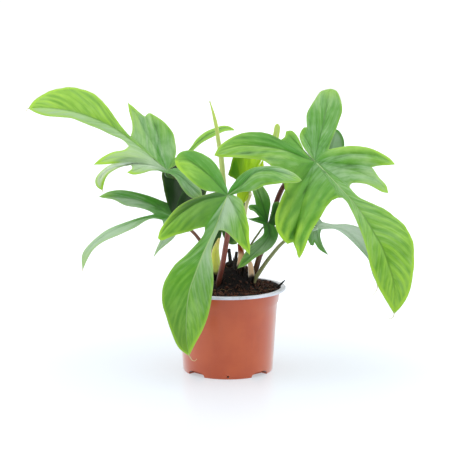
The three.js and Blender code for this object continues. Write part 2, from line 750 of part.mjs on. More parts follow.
function blade(leaf) {
  const { points, corners, ribExtra } = bladeSheet(leaf);
  const sheet = weld(fromLists(points, corners));
  const place = sheet.getAttribute('position');
  const extra = (i) => {
    const point = new THREE.Vector3().fromBufferAttribute(place, i);
    return ribExtra[points.findIndex((p) => p.distanceTo(point) < 1e-3)];
  };
  const depths = Array.from({ length: place.count }, (_, i) => extra(i));
  if (leaf.turned) {
    const index = [...sheet.index.array];
    const flipped = [];
    for (let i = 0; i < index.length; i += 3) flipped.push(index[i], index[i + 2], index[i + 1]);
    sheet.setIndex(flipped);
  }
  return thicken(sheet, BLADE, (i) => depths[i]);
}

// A stalk ends square to the blade, just under the rib at the hub.
function stalkPath(leaf) {
  const hub = new THREE.Vector3(...leaf.hub);
  const side = leaf.turned ? -1 : 1;
  const under = new THREE.Vector3(leaf.slope[0], leaf.slope[1], -1).normalize().multiplyScalar(side);
  const end = hub.clone().addScaledVector(under, BLADE / 2 + RIB_DEPTH + GAP + STALK_SEAT);
  const neck = hub.clone().addScaledVector(under, NECK);
  return [...leaf.stalk.map(seen), seen(neck.toArray()), seen(end.toArray())];
}

// Pot
function lathe(profile, sides) {
  const outline = profile.map(([radius, height]) => new THREE.Vector2(radius, height));
  return new THREE.LatheGeometry(outline, sides).rotateX(Math.PI / 2);
}

function wallRadius(height) {
  return THREE.MathUtils.mapLinear(height, 0, COLLAR_FOOT - 1, FOOT_RADIUS, WALL_TOP_RADIUS);
}

// The inside of the pot, drawn in from the wall by a clearance
function cavity(clear, top) {
  return toSolid(lathe([
    [0, FLOOR + clear],
    [wallRadius(FLOOR) - WALL - clear, FLOOR + clear],
    [WALL_TOP_RADIUS - WALL - clear, COLLAR_FOOT - 1],
    [COLLAR_FOOT_RADIUS - WALL - clear, COLLAR_FOOT + COLLAR_FLARE],
    [COLLAR_RADIUS - WALL - clear, POT_HEIGHT - LIP_DEPTH + LIP_ROOT_RISE + clear],
    [LIP_MOUTH - clear, POT_HEIGHT - LIP_EDGE + clear],
    [LIP_MOUTH - clear, top],
    [0, top],
  ], POT_SIDES));
}

// The arched recesses in the foot, grown by a margin
function notches(grow) {
  const half = NOTCH_WIDTH / 2 + grow;
  const top = NOTCH_HEIGHT + grow;
  const rise = NOTCH_ARCH.map(([inset, share]) => [half - inset, share * top]);
  const fall = rise.map(([x, y]) => [-x, y]).reverse();
  const outline = [[-half, -NOTCH_OVERRUN], [half, -NOTCH_OVERRUN], ...rise, [0, top], ...fall];
  const arch = new THREE.Shape(outline.map(([x, y]) => new THREE.Vector2(x, y)));
  let all = null;
  for (let i = 0; i < NOTCH_COUNT; i++) {
    const angle = ((i + 0.5) / NOTCH_COUNT) * 2 * Math.PI;
    const radial = new THREE.Vector3(Math.cos(angle), Math.sin(angle), 0);
    const up = new THREE.Vector3(0, 0, 1);
    const tangent = up.clone().cross(radial);
    const start = FOOT_RADIUS - NOTCH_DEEP - grow;
    const depth = NOTCH_DEEP + grow + NOTCH_OVERRUN;
    const shape = new THREE.ExtrudeGeometry(arch, { depth, bevelEnabled: false });
    shape.applyMatrix4(new THREE.Matrix4().makeBasis(tangent, up, radial)
      .setPosition(radial.multiplyScalar(start)));
    const solid = toSolid(shape);
    all = all ? all.add(solid) : solid;
  }
  return all;
}

// The small holes in the wall's foot, between the notches
function drainHoles() {
  let all = null;
  for (let i = 0; i < NOTCH_COUNT; i++) {
    const angle = (i / NOTCH_COUNT) * 2 * Math.PI;
    const round = [DRAIN_HOLE_RADIUS, DRAIN_HOLE_RADIUS, DRAIN_HOLE_LENGTH, DRAIN_HOLE_SIDES];
    const hole = new THREE.CylinderGeometry(...round)
      .rotateZ(Math.PI / 2)
      .translate(FOOT_RADIUS, 0, FLOOR + DRAIN_HOLE_RADIUS + DRAIN_HOLE_LIFT)
      .rotateZ(angle);
    const solid = toSolid(hole);
    all = all ? all.add(solid) : solid;
  }
  return all;
}

function pot() {
  const outside = toSolid(lathe([
    [0, 0],
    [FOOT_RADIUS, 0],
    [WALL_TOP_RADIUS, COLLAR_FOOT - 1],
    [COLLAR_FOOT_RADIUS, COLLAR_FOOT + COLLAR_FLARE],
    [COLLAR_RADIUS, POT_HEIGHT - LIP_DEPTH],
    [RIM_RADIUS - RIM_BEVEL, POT_HEIGHT - LIP_DEPTH],
    [RIM_RADIUS, POT_HEIGHT - LIP_DEPTH + RIM_BEVEL],
    [RIM_RADIUS, POT_HEIGHT - RIM_BEVEL],
    [RIM_RADIUS - RIM_BEVEL, POT_HEIGHT],
    [0, POT_HEIGHT],
  ], POT_SIDES));
  const inside = cavity(0, POT_HEIGHT + 1).subtract(notches(WALL));
  return toGeometry(outside.subtract(inside).subtract(notches(0)).subtract(drainHoles()));
}

// Soil
function soilHeight(across, near) {
  const x = (across - MOUND.across) / MOUND.wide;
  const y = (near - MOUND.near) / MOUND.deep;
  const heap = MOUND.height * Math.exp(-Math.pow(x * x + y * y, MOUND.steep));
  const { across: fast, shift, near: slow, broad: wide, share } = LUMP_WAVES;
  const small = Math.sin(fast * across + shift) * Math.cos(slow * near);
  const broad = share * Math.sin(wide * (across - near));
  return SOIL_LEVEL + heap + LUMP * (small + broad);
}

function soil() {
  const edge = LIP_MOUTH - GAP - SOIL_SKIN;
  const radii = [...SOIL_RINGS, edge];
  const floor = FLOOR + GAP;
  const points = [new THREE.Vector3(0, 0, soilHeight(0, 0))];
  for (const radius of radii) {
    for (let j = 0; j < SOIL_SIDES; j++) {
      const angle = (j / SOIL_SIDES) * 2 * Math.PI;
      const [x, y] = [radius * Math.cos(angle), radius * Math.sin(angle)];
      points.push(new THREE.Vector3(x, y, soilHeight(x, -y)));
    }
  }
  for (let j = 0; j < SOIL_SIDES; j++) {
    const angle = (j / SOIL_SIDES) * 2 * Math.PI;
    points.push(new THREE.Vector3(edge * Math.cos(angle), edge * Math.sin(angle), floor));
  }
  points.push(new THREE.Vector3(0, 0, floor));
  const at = (ring, j) => 1 + ring * SOIL_SIDES + (j % SOIL_SIDES);
  const corners = [];
  for (let j = 0; j < SOIL_SIDES; j++) {
    corners.push(0, at(0, j), at(0, j + 1));
    for (let ring = 0; ring < radii.length; ring++) {
      corners.push(at(ring, j), at(ring + 1, j), at(ring + 1, j + 1));
      corners.push(at(ring, j), at(ring + 1, j + 1), at(ring, j + 1));
    }
    corners.push(points.length - 1, at(radii.length, j + 1), at(radii.length, j));
  }
  let body = toSolid(fromLists(points, corners));
  body = body.intersect(cavity(GAP, POT_HEIGHT + ABOVE_SOIL)).subtract(notches(WALL + GAP));
  for (const { path, radii: r, sides, step } of rooted) {
    const [first, second] = path;
    const foot = first.clone().addScaledVector(first.clone().sub(second).normalize(), GAP);
    const hole = taperedTube([foot, ...path.slice(1)], r.map((x) => x + GAP), sides, step);
    body = body.subtract(toSolid(hole));
  }
  return toGeometry(body);
}

// A rolled sheet that wraps part of the way round its path
function sheath({ path, radii }) {
  const curve = smooth(path.map(seen));
  const points = [];
  const corners = [];
  for (let i = 0; i <= SHEATH_STEPS; i++) {
    const centre = curve.getPointAt(i / SHEATH_STEPS);
    const radius = along(radii, i / SHEATH_STEPS);
    for (let j = 0; j <= SHEATH_COLUMNS; j++) {
      const angle = (j / SHEATH_COLUMNS - 0.5) * SHEATH_WRAP + Math.PI / 2;
      const out = new THREE.Vector3(Math.cos(angle), Math.sin(angle), 0);
      points.push(centre.clone().addScaledVector(out, radius));
    }
  }
  for (let i = 0; i < SHEATH_STEPS; i++) {
    for (let j = 0; j < SHEATH_COLUMNS; j++) {
      const a = i * (SHEATH_COLUMNS + 1) + j;
      const b = a + SHEATH_COLUMNS + 1;
      corners.push(a, a + 1, b + 1, a, b + 1, b);
    }
  }
  return thicken(fromLists(points, corners), SHEATH_THICK);
}

const plant = new THREE.Group();

function add(name, geometry, colour, roughness) {
  const material = new THREE.MeshStandardMaterial({ color: colour, roughness, metalness: 0 });
  const mesh = new THREE.Mesh(geometry, material);
  mesh.name = name;
  plant.add(mesh);
}

// What stands in the soil: the stalks, the spear, the stubs and the chip of bark
const rooted = [];
const tubes = {};

function root(name, path, radii, sides = STALK_SIDES, step = STALK_STEP) {
  rooted.push({ path, radii, sides, step });
  tubes[name] = taperedTube(path, radii, sides, step);
}

for (const [name, leaf] of Object.entries(LEAVES)) {
  root(`stalk_${name}`, stalkPath(leaf), STALK_RADII[name]);
}
root('spear', SPEAR.map(seen), SPEAR_RADII);
for (const [name, { path, radii }] of Object.entries(STUBS)) root(name, path.map(seen), radii, STUB_SIDES);
root('twig', TWIG.path.map(seen), TWIG.radii, STUB_SIDES);
for (const { path, radii } of Object.values(SHEATHS)) {
  rooted.push({ path: path.map(seen), radii: radii.map((r) => r + SHEATH_THICK), ...SHEATH_HOLE });
}

const BLADE_COLOURS = {
  young: COLOURS.youngBlade,
  small: COLOURS.darkBlade,
  back_low: COLOURS.darkBlade,
  low_right: COLOURS.paleBlade,
  back_right: COLOURS.paleBlade,
};
const TUBE_COLOURS = {
  stalk_front: COLOURS.redStalk,
  stalk_right: COLOURS.redStalk,
  stalk_low_left: COLOURS.redStalk,
  stalk_high_left: COLOURS.redStalk,
  stalk_young: COLOURS.greenStalk,
  spear: COLOURS.greenStalk,
  stub_left: COLOURS.dark,
  stub_right: COLOURS.dark,
  twig: COLOURS.dark,
};

add('pot', pot(), COLOURS.pot, 0.45);
add('soil', soil(), COLOURS.soil, 0.95);
for (const [name, leaf] of Object.entries(LEAVES)) {
  add(`leaf_${name}`, blade(leaf), BLADE_COLOURS[name] ?? COLOURS.blade, 0.4);
}
for (const [name, tube] of Object.entries(tubes)) {
  add(name, tube, TUBE_COLOURS[name] ?? COLOURS.oliveStalk, 0.5);
}
add('sheath_green', sheath(SHEATHS.sheath_green), COLOURS.greenStalk, 0.6);
add('sheath_peach', sheath(SHEATHS.sheath_peach), COLOURS.peach, 0.6);
add('sheath_pale', sheath(SHEATHS.sheath_pale), COLOURS.peach, 0.6);

export default plant;
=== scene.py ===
"""A florida philodendron in a round nursery pot, dressed for rendering.

Metres, +Z up. The origin is the middle of the pot's flat underside, and the plant's front
faces -Y. Sizes and places below are in millimetres, and MM turns them into metres.
"""

import math
import random

import bpy
import numpy as np
from mathutils import Euler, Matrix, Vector, noise


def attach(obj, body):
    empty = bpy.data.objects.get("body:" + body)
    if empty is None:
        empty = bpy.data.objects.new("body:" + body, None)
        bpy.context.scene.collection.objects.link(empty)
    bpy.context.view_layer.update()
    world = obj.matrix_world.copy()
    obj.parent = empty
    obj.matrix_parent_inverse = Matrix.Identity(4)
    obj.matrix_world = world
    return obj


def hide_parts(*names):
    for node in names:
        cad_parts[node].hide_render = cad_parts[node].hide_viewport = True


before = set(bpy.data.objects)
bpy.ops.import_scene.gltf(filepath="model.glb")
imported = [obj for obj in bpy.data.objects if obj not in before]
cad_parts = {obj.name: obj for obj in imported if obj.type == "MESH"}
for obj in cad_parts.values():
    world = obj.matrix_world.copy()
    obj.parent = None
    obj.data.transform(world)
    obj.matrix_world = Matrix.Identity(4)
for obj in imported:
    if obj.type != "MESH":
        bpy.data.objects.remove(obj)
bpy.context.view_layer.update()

MM = 0.001
TURN = 2 * math.pi

# Pot
POT_HEIGHT = 87
RIM_RADIUS = 60
RIM_BEVEL = 0.7
LIP_DEPTH = 2.6
LIP_MOUTH = 54.8
LIP_ROOT_RISE = 0.3
LIP_EDGE = 1.2
LIP = POT_HEIGHT - LIP_DEPTH
COLLAR_RADIUS = 54
COLLAR_FOOT_RADIUS = 52.5
COLLAR_FOOT = 71
COLLAR_FLARE = 2
WALL_TOP = COLLAR_FOOT - 1
WALL_TOP_RADIUS = 51.05
FOOT_RADIUS = 46.6
WALL = 1.3
FLOOR = 1.5
POT_SIDES = 144
WALL_RINGS = [6, 12, 20, 30, 40, 50, 60]
NOTCH_COUNT = 4
NOTCH_WIDTH = 23.6
NOTCH_HEIGHT = 4.9
NOTCH_DEEP = 9
NOTCH_OVERRUN = 10
NOTCH_BELOW = 5
# How far in from its side the notch's arch runs at which share of its height, and its crown's
# place as shares of half its width and of its height
NOTCH_ARCH = [(0.8, 0.45), (3.6, 0.88)]
NOTCH_CROWN = (0.35, 0.985)
DRAIN_HOLE_RADIUS = 1.1
DRAIN_HOLE_LIFT = 0.2
DRAIN_HOLE_REACH = 6
DRAIN_HOLE_SIDES = 20

# Soil
GAP = 0.3
SOIL_INSET = 0.2
SOIL_LEVEL = 86.2
SOIL_FLOOR = 1.8
SOIL_STEP = 7
SOIL_FOOT = 36
SOIL_RINGS = 84
SOIL_SPOKES = 200
MOUND = {"across": 6.5, "near": 4, "height": 24, "wide": 20.5, "deep": 25, "steep": 2.2}
LUMP = 0.6
LUMP_WAVES = {"across": 0.43, "shift": 1.3, "near": 0.37, "broad": 0.21, "share": 0.6}
CRUMBS = 1500
CHIPS = 130
ROOTLETS = 60
SPLINTERS = 34
SCATTER_REACH = 50.5

# Leaf blades. BULGE is the rise between the veins as a share of a half lobe's width, PLEAT
# the distance from one pleat to the next, and DRIFT how far the pleats wander.
BLADE = 0.5
KEEL = 0.9
VEIN_SLANT = 0.85
BULGE = 0.07
PLEAT = 12
DRIFT = 3
INNER_ROWS = 14
ROW_STEP = 1.7
COLUMN_STEP = 1.7
SMOOTH_STEP = 0.8
EDGE_SMOOTH = 3.0
TAIL_RADIUS = 0.55

# Stalks, spear and sheaths
STALK_SIDES = 20
STALK_STEP = 1.6
NECK = 7
SEAT = 0.4
SPEAR_SIDES = 28
SPEAR_STEP = 1.4
SHEATH_WRAP = 1.15 * math.pi
SHEATH_THICK = 0.5
SHEATH_ROWS = 44
SHEATH_COLUMNS = 26

# The camera. It looks along +Y, tipped down, from where the photograph was taken.
EYE = np.array([-3.0, -1271.0, 334.0])
TIP_DOWN = 8.2
LENS = 100
SENSOR = 36
FLOOR_REACH = 6000

# The studio's light from each part of the sky, and where the brightest patch of it lies
FRONT_LIGHT = 0.26
SIDE_LIGHT = 1.15
BACK_LIGHT = 0.38
TOP_LIGHT = 1.05
KEY_LIGHT = 1.6
KEY_HEADING = [0.0, -0.22, 0.95]
HORIZON_LIGHT = 1.05

# Colours that all blades share. The first is painted shadow, and the next two are a painted sheen.
PAINTED_SHADOW_GREEN = 0x0e2806
PAINTED_SHEEN_PALE = 0xe2ebe4
PAINTED_SHEEN_WHITE = 0xfffff2
RIB_LINE = 0xb8d692
THIN_EDGE = 0xc4d49c
DRY_TAIL = 0xd8cba0

# What each blade's look is made from, in the order that blade_look names. The fourth colour is a painted
# sheen.
BLADE_COLOURS = {
    "green": (0x265e12, 0x4b972a, 0x82c162, 0xa8c6a2, 0xaada3c, 0x86a478, 0xa0d34e),
    "young": (0x4c9408, 0xa4d828, 0xd0ec50, 0xdce8b8, 0xd8f034, 0xb4cc60, 0xd6f060, 0.45),
    "dark": (0x143c08, 0x347c1c, 0x64a446, 0x8eae84, 0x90c850, 0x789870, 0x7cb838),
    "pale": (0x8eb284, 0xb4ceb0, 0xccdec6, 0xd6e4d2, 0x6cac4c, 0xbed2b8, 0xcce296),
}

# Each leaf has a hub, where its stalk and all its ribs meet. slope says how far the blade
# comes forward for each millimetre across and up, away from a rib, and turned that its
# underside shows. Then come its blade's look, its stalk's path, and the stalk's radii and
# colours at the soil, halfway and at the blade.
LEAVES = {
    "high_left": {
        "hub": [-62, 207, -5], "slope": [-0.1, -0.9], "look": "green",
        "stalk": [[-10, 72, -4], [-15, 100, -4], [-19, 125, -6], [-20.5, 150, -9], [-26, 172, -12],
                  [-34, 187, -14], [-45, 197, -16]],
        "radii": [2.9, 2.3, 1.6], "colours": [0x5f4a30, 0x8a4f42, 0x3c6428], "slot": "stalk_red",
    },
    "front": {
        "hub": [-0.5, 181, 58], "slope": [0, -0.75], "look": "green",
        "stalk": [[-10.5, 72, 16], [-9.3, 92, 23], [-7.2, 102, 28], [-5, 112, 32], [-2.8, 126, 39],
                  [-0.3, 141, 45], [1.5, 158, 49]],
        "radii": [2.7, 2.7, 2.3], "colours": [0x241a0c, 0x88463a, 0xa86a5a], "slot": "stalk_red",
    },
    "right": {
        "hub": [88.5, 216.5, 14], "slope": [-0.1, -0.8], "look": "green",
        "stalk": [[22.5, 72, -2], [25.7, 94, 0], [28.6, 104, 1], [33.5, 121, 3], [43.5, 147, 4],
                  [49.5, 174, 3], [59, 194, 0], [74, 206, -2]],
        "radii": [3.0, 2.9, 2.1], "colours": [0x5a4622, 0x64302a, 0x6c181c], "slot": "stalk_red",
    },
    "low_left": {
        "hub": [-56, 159, -8], "slope": [0, -0.9], "look": "green",
        "stalk": [[-16, 72, -12], [-17, 100, -12], [-22.5, 122.5, -11], [-29, 135, -10], [-37, 144.5, -10],
                  [-46, 151, -13]],
        "radii": [2.4, 2.0, 1.4], "colours": [0x6f5a36, 0x7c5044, 0x86664c], "slot": "stalk_red",
    },
    "young": {
        "hub": [21.5, 185, -18], "slope": [0.2, -0.4], "look": "young",
        "stalk": [[10, 72, -10], [12, 100, -12], [15.5, 130, -17], [17.5, 161, -22], [19.6, 173.5, -23]],
        "radii": [2.2, 1.9, 1.9], "colours": [0xc8c080, 0xf4e4bc, 0xeee8a8], "slot": "stalk_green",
    },
    "small": {
        "hub": [41, 153, 26], "slope": [0.2, -0.7], "look": "dark",
        "stalk": [[17, 72, 12], [17.5, 112, 14], [24, 130.5, 17], [31, 141.5, 18], [37, 149, 18]],
        "radii": [1.4, 1.2, 0.9], "colours": [0x6c6838, 0x6f7040, 0x6f8040], "slot": "stalk_olive",
    },
    "low_right": {
        "hub": [91, 150, -36], "slope": [0, 0.5], "turned": True, "look": "pale",
        "stalk": [[24, 72, 13], [27, 92, 12], [32.5, 101.5, 8], [43.5, 117.5, -2], [57, 133, -14],
                  [74.5, 144.5, -25]],
        "radii": [2.4, 2.0, 1.4], "colours": [0x6e6a34, 0x8a9062, 0xa8c0a4], "slot": "stalk_olive",
    },
    "back_right": {
        "hub": [104, 212, -58], "slope": [0, 0.5], "turned": True, "look": "pale",
        "stalk": [[20, 72, -18], [26, 100, -20], [45, 140, -34], [75, 180, -46], [94, 200, -50]],
        "radii": [2.4, 2.0, 1.4], "colours": [0x57542c, 0x5f6c38, 0x687c40], "slot": "stalk_olive",
    },
    "back_low": {
        "hub": [-6, 161, -34], "slope": [0, -0.7], "look": "dark",
        "stalk": [[-9, 72, -16], [-7.5, 104, -22], [-4.5, 120, -28], [-1.5, 138, -37], [-3, 150, -42]],
        "radii": [2.2, 1.8, 1.3], "colours": [0x57542c, 0x5f6c38, 0x687c40], "slot": "stalk_olive",
    },
}

# The lobes go anticlockwise round the hub, from one side of the open gap at the stalk to the
# other. Each has its rib, from the hub to its tip, its clockwise and its anticlockwise edge,
# from the notch beside them or from the hub at the gap, the notch between it and the next
# lobe, and a slope where that isn't the leaf's.
LOBES = {
    "high_left": [
        ([[-50, 218, -18], [-36, 231, -34], [-24, 241, -50], [-13, 247, -64], [-4, 251, -76],
          [7, 248, -86]],
         [[-45, 218], [-27, 235], [-13, 242.5], [-3.5, 247]],
         [[-46, 223], [-39, 229], [-32, 239], [-22, 247], [-13, 250.5], [-4, 253], [4, 251]],
         [-54, 220], [0, -2]),
        ([[-67, 228, -26], [-73, 248, -46], [-78, 265, -60]],
         [[-52.6, 226], [-53.6, 236], [-56, 246], [-62.5, 254], [-70.5, 261]],
         [[-81, 265]], [-84, 262.3]),
        ([[-73, 228, -26], [-85, 248, -44], [-93, 264, -55], [-101.5, 276, -62]],
         [[-90.5, 266.5], [-96.5, 272.5]],
         [[-97.3, 247], [-97.5, 256], [-100.2, 266.5]], [-99.3, 241.5]),
        ([[-74.5, 218, -14], [-99, 238.5, -26], [-116, 250.5, -32], [-131, 258, -36], [-147, 264, -38],
          [-165, 268.5, -38], [-184, 270.5, -36], [-202.5, 270.3, -32]],
         [[-106.5, 249.5], [-118, 266], [-129.5, 280], [-142, 288], [-156.7, 291.2], [-168, 291],
          [-179, 288], [-190.5, 282.5], [-198, 276.5]],
         [[-107, 238.5], [-117, 242.5], [-131, 249.3], [-149, 256.3], [-158.5, 260.3], [-171, 261.3],
          [-187, 263], [-198.5, 267.5]], [-101, 232]),
        ([[-83, 218, -10], [-106, 221, -4], [-124, 218, 0], [-137, 213, 4]],
         [[-106, 228], [-117, 226], [-129, 220]],
         [[-122, 213.5], [-135, 213]], [-108, 215.5]),
        ([[-91, 214, -11], [-104, 212.5, -15], [-117, 209.5, -18], [-128.5, 202, -16], [-131, 194, -12],
          [-128.2, 186.4, -8]],
         [[-120, 213], [-127, 208.5], [-133, 202.5], [-135.8, 197], [-134.3, 190.3]],
         [[-108.5, 210.8], [-117.6, 206.4], [-122.2, 202.9], [-125.6, 197.1], [-127.3, 191.5]],
         [-99, 213]),
        ([[-80, 212, -4], [-92, 208, 0], [-103, 205, 4]],
         [[-98, 209]],
         [[-79, 206.8], [-87, 204.2], [-97, 202.8]], [-72, 207]),
        ([[-50, 202, 0], [-37, 190, 10], [-26, 178, 20]],
         [[-66.5, 205.3], [-59, 203.6], [-53, 198.6], [-47.5, 189.5], [-41, 181.5], [-36, 178.5]],
         [[-53, 209.5], [-43, 205], [-37, 197], [-28, 188]]),
    ],
    "front": [
        ([[-14, 197, 46], [-29, 210, 36], [-42, 218, 28], [-54, 217, 24]],
         [[0, 187], [-2.8, 193], [-5.2, 200], [-9, 208.5], [-14.4, 216.2], [-21.9, 221.8], [-30, 226.2],
          [-39, 227.6], [-50, 225.2]],
         [[-20.4, 185.7], [-29.6, 189.5], [-37.8, 196], [-42.5, 200.8], [-49, 207], [-53.5, 213]],
         [-11.5, 185.2]),
        ([[-24, 177, 63], [-44, 166, 69], [-60, 152, 73], [-72, 137, 72]],
         [[-30, 180], [-39, 177], [-53, 168], [-65, 153], [-70, 145]],
         [[-30, 147.4], [-38, 144.6], [-48, 142], [-57, 139], [-64, 136], [-69, 134.5]], [-23.8, 148.8]),
        ([[-6, 167, 66], [-12, 150, 74], [-19, 135, 81], [-26, 120, 86], [-34, 99, 91], [-39, 85, 93],
          [-42, 69, 93], [-43, 54, 92], [-43.5, 43, 90], [-43, 30, 87], [-40.5, 13, 83]],
         [[-23.6, 143.5], [-27, 137.5], [-33, 130.5], [-43, 120], [-55, 109], [-64, 95], [-68, 83],
          [-68, 68], [-65, 58], [-59, 39], [-51, 21]],
         [[-14.5, 134], [-17.5, 122], [-15.5, 108], [-15, 90], [-17, 73], [-20, 58], [-26, 41], [-33, 28]],
         [-9.5, 145.5]),
        ([[7, 168, 66], [13, 154, 74], [18.5, 135, 80], [22.5, 119.5, 82]],
         [[-4, 145], [3, 139], [9, 133], [16.5, 126]],
         [[13, 178], [16.5, 170], [20, 156], [22, 147], [21.5, 138], [23, 130]], [5, 182]),
        ([[13, 191, 55], [28, 205, 50], [43, 207, 48], [64, 202, 49], [75.5, 197, 51]],
         [[14, 185], [28, 186.5], [38, 192], [48, 193], [61, 194.5], [72, 194.5]],
         [[0.9, 187], [4, 191.3], [8, 196.5], [13, 202.6], [25, 209.5], [38, 211.5], [50, 211.3],
          [61, 207.5], [70, 202.5]]),
    ],
    "right": [
        ([[77, 228, 6], [66, 239, -3], [59, 247, -9]],
         [[80.5, 221], [76.7, 229.3], [73, 237.2], [70, 242.8], [64.5, 248]],
         [[57.5, 241]], [54, 238.5]),
        ([[79, 219.5, 12], [56, 228.5, 6], [34, 232, 6], [10, 232, 10], [-9, 226, 15], [-14, 222.5, 16]],
         [[45.5, 243], [34, 246], [23.5, 246.5], [11, 244], [-1, 238], [-9, 231.5]],
         [[42, 213], [35, 218], [20.5, 219.5], [3.5, 220.5], [-10, 221]], [52, 205]),
        ([[75, 192, 30], [63, 164, 48], [58, 144, 58], [61, 131, 62]],
         [[60.5, 193], [56, 182], [51.5, 170], [48.5, 161.5], [48.5, 153], [51.5, 142], [58, 134]],
         [[64, 132]], [67, 133]),
        ([[84, 192, 32], [79, 164, 52], [75, 137, 66], [73.5, 116, 74]],
         [[70, 126], [72, 118.5]],
         [[111, 179.5], [102, 171], [97, 162], [90, 151], [84, 140], [80, 129], [76.5, 120.5]],
         [117, 179]),
        ([[102, 203, 24], [117, 187, 34], [131, 171, 43], [143, 154.5, 51], [151, 141, 57],
          [159, 127.5, 62], [165, 111.5, 65], [170, 97, 66], [172.5, 80.5, 65], [172.5, 57.5, 60]],
         [[121, 176], [127, 165], [134, 150], [143, 125], [146, 111], [151, 97], [156, 85], [163, 73]],
         [[134, 179.5], [140, 176.5], [151, 172], [164, 165], [172, 159], [184, 147], [191, 131],
          [192, 115], [191, 96.5], [187, 78], [180, 65.5]], [124.5, 189.5]),
        ([[110, 210.5, 15], [134, 205, 14], [151, 197, 17], [164.3, 184, 24]],
         [[125.5, 193.7], [141.5, 193], [150.5, 189], [158.5, 184.8]],
         [[154, 200.5], [161.5, 192]], [147, 210.5]),
        ([[109, 222, 8], [133, 224, 2], [153, 221, 2], [170.5, 213.3, 7]],
         [[156, 212.3], [164, 212.3]],
         [[115, 231], [129.5, 232], [143.7, 230], [156, 225], [166, 218.8]], [102.5, 228.5]),
        ([[91, 230, 3], [94, 243, -8], [97, 256, -20], [101, 279, -40], [103.5, 290, -49]],
         [[106, 239], [110, 249], [113, 258], [116, 268], [115, 276], [113, 282.5], [109, 289]],
         [[80, 265], [88, 279], [94, 287.5]], [80, 251]),
        ([[84, 231, 2], [78, 242, -7], [75, 248.5, -11]],
         [[77.5, 251]],
         [[83.5, 222], [77.3, 230], [74.2, 236.5], [72.6, 242.5]]),
    ],
    "low_left": [
        ([[-50, 177, -24], [-43, 192, -38], [-38, 208, -52], [-36, 219, -62]],
         [[-46, 163], [-34, 168], [-24, 180], [-20, 194], [-26, 210]],
         [[-64.8, 184], [-66.6, 195], [-67.6, 204], [-60, 214], [-46, 220]], [-62.4, 173.8]),
        ([[-80, 173, -16], [-106, 179, -24], [-132, 180, -30]],
         [[-81, 181], [-96, 185], [-111, 187], [-123, 185]],
         [[-81, 165.5], [-93, 169], [-105.5, 171], [-117, 177], [-129, 179]], [-75.5, 162]),
        ([[-81, 159, 0], [-105, 151, 14], [-127, 140, 26], [-143, 126, 36], [-149, 115, 40],
          [-150, 104, 42]],
         [[-90.5, 158.5], [-107, 153], [-123, 146.5], [-135.5, 137.5], [-146, 127], [-150.5, 119.5]],
         [[-76, 158], [-85, 155], [-93, 149.5], [-111, 141], [-129, 133], [-139, 125], [-146, 113]],
         [-67.5, 156], [0.3, -1.3]),
        ([[-62, 145, 4], [-67, 132, 12], [-76.8, 117, 20]],
         [[-66, 150], [-66.5, 142], [-70, 134], [-74, 125]],
         [[-51, 150], [-55, 138], [-64, 130], [-71, 124]]),
    ],
    "young": [
        ([[26, 193, -18], [31, 204, -20], [36, 219, -26]],
         [[27, 188], [33, 198], [36.5, 209]],
         [[33, 214]], [29, 206]),
        ([[24, 199, -21], [31, 214, -30], [42, 231, -38], [48.5, 242, -42], [50.5, 255, -46]],
         [[36, 220], [45.5, 228], [51, 238], [52.8, 247], [53, 253]],
         [[25, 228], [38, 235], [45.3, 242], [46.9, 249], [47.8, 254]], [16, 225]),
        ([[14, 197, -18], [10, 209, -18], [7, 226, -22]],
         [[12, 227]],
         [[8, 198], [-0.3, 202.6], [1.8, 207.5], [4, 217]], [12, 190]),
        ([[18.5, 180, -19], [15.5, 172.5, -20]],
         [[9, 181]],
         [[20.3, 178]]),
    ],
    "small": [
        ([[37, 168, 20], [32, 182, 14], [27, 196, 8]],
         [[42.5, 164], [43.8, 172], [42, 181], [37.3, 189], [31.8, 195]],
         [[27.5, 178], [25, 187]], [28.5, 172]),
        ([[34, 162, 22], [27, 168, 18], [21, 169, 15]],
         [[25.5, 172], [22.2, 171.5]],
         [[26, 165.5], [22.5, 166.5]], [32, 159.5]),
        ([[35, 155.5, 24], [27, 156.5, 22], [19.5, 157.5, 20]],
         [[26, 158]],
         [[26, 154.8]], [36, 151.5]),
        ([[43, 141, 27], [35, 129, 29], [25, 119.5, 31], [10, 105.5, 34]],
         [[37, 142], [30, 135], [22, 128], [14, 115]],
         [[52, 141.5], [48, 131], [41, 124], [28, 116.5], [17, 108]], [48, 150]),
        ([[46.5, 159, 24], [50, 167, 21], [51.5, 175, 18]],
         [[54, 154], [57.5, 161], [57.5, 170]],
         [[44.3, 159], [45.2, 169], [47, 174]]),
    ],
    "low_right": [
        ([[89, 141, -38], [85, 130, -40]],
         [[84, 146], [82, 137]],
         [[88, 129.5]], [89, 133]),
        ([[93, 139, -39], [97, 129, -43], [103.5, 119.5, -47]],
         [[94, 125.5]],
         [[94.5, 141], [98, 129]], [96, 146]),
        ([[101, 149, -40], [118, 146.5, -50], [130, 138, -58], [143, 122, -66], [149, 104, -70],
          [154, 90, -72]],
         [[108.5, 147], [115.5, 144], [127, 134.5], [137.5, 123.5], [145.5, 114], [149, 100]],
         [[108.5, 151.5], [118, 152], [127, 151], [138, 147], [150, 133], [156, 114], [156, 98]],
         [97, 154]),
        ([[87, 164, -32], [86, 178, -28], [87, 193, -25]],
         [[92, 161], [94, 173], [92, 186]],
         [[78, 173], [80, 186]], [82, 163]),
        ([[82, 156, -34], [74, 163, -32], [66, 170, -30]],
         [[76, 169], [70, 172]],
         [[82, 150.5], [73, 155], [67, 163]]),
    ],
    "back_right": [
        ([[106, 200, -64], [110, 186, -72]],
         [[99, 203], [102, 192]],
         [[114, 194]], [114, 203]),
        ([[120, 212, -64], [134, 208, -74], [146, 203, -84]],
         [[124, 203], [136, 200]],
         [[124, 219], [138, 214]], [114, 222]),
        ([[105, 226, -50], [107.5, 240, -43], [109, 249.3, -39]],
         [[118.5, 232], [117.8, 239], [115, 245], [112, 248.3]],
         [[97, 234], [101, 245]], [98, 222]),
        ([[92, 213, -60], [80, 214, -64], [70, 214, -70]],
         [[88, 220], [77, 219]],
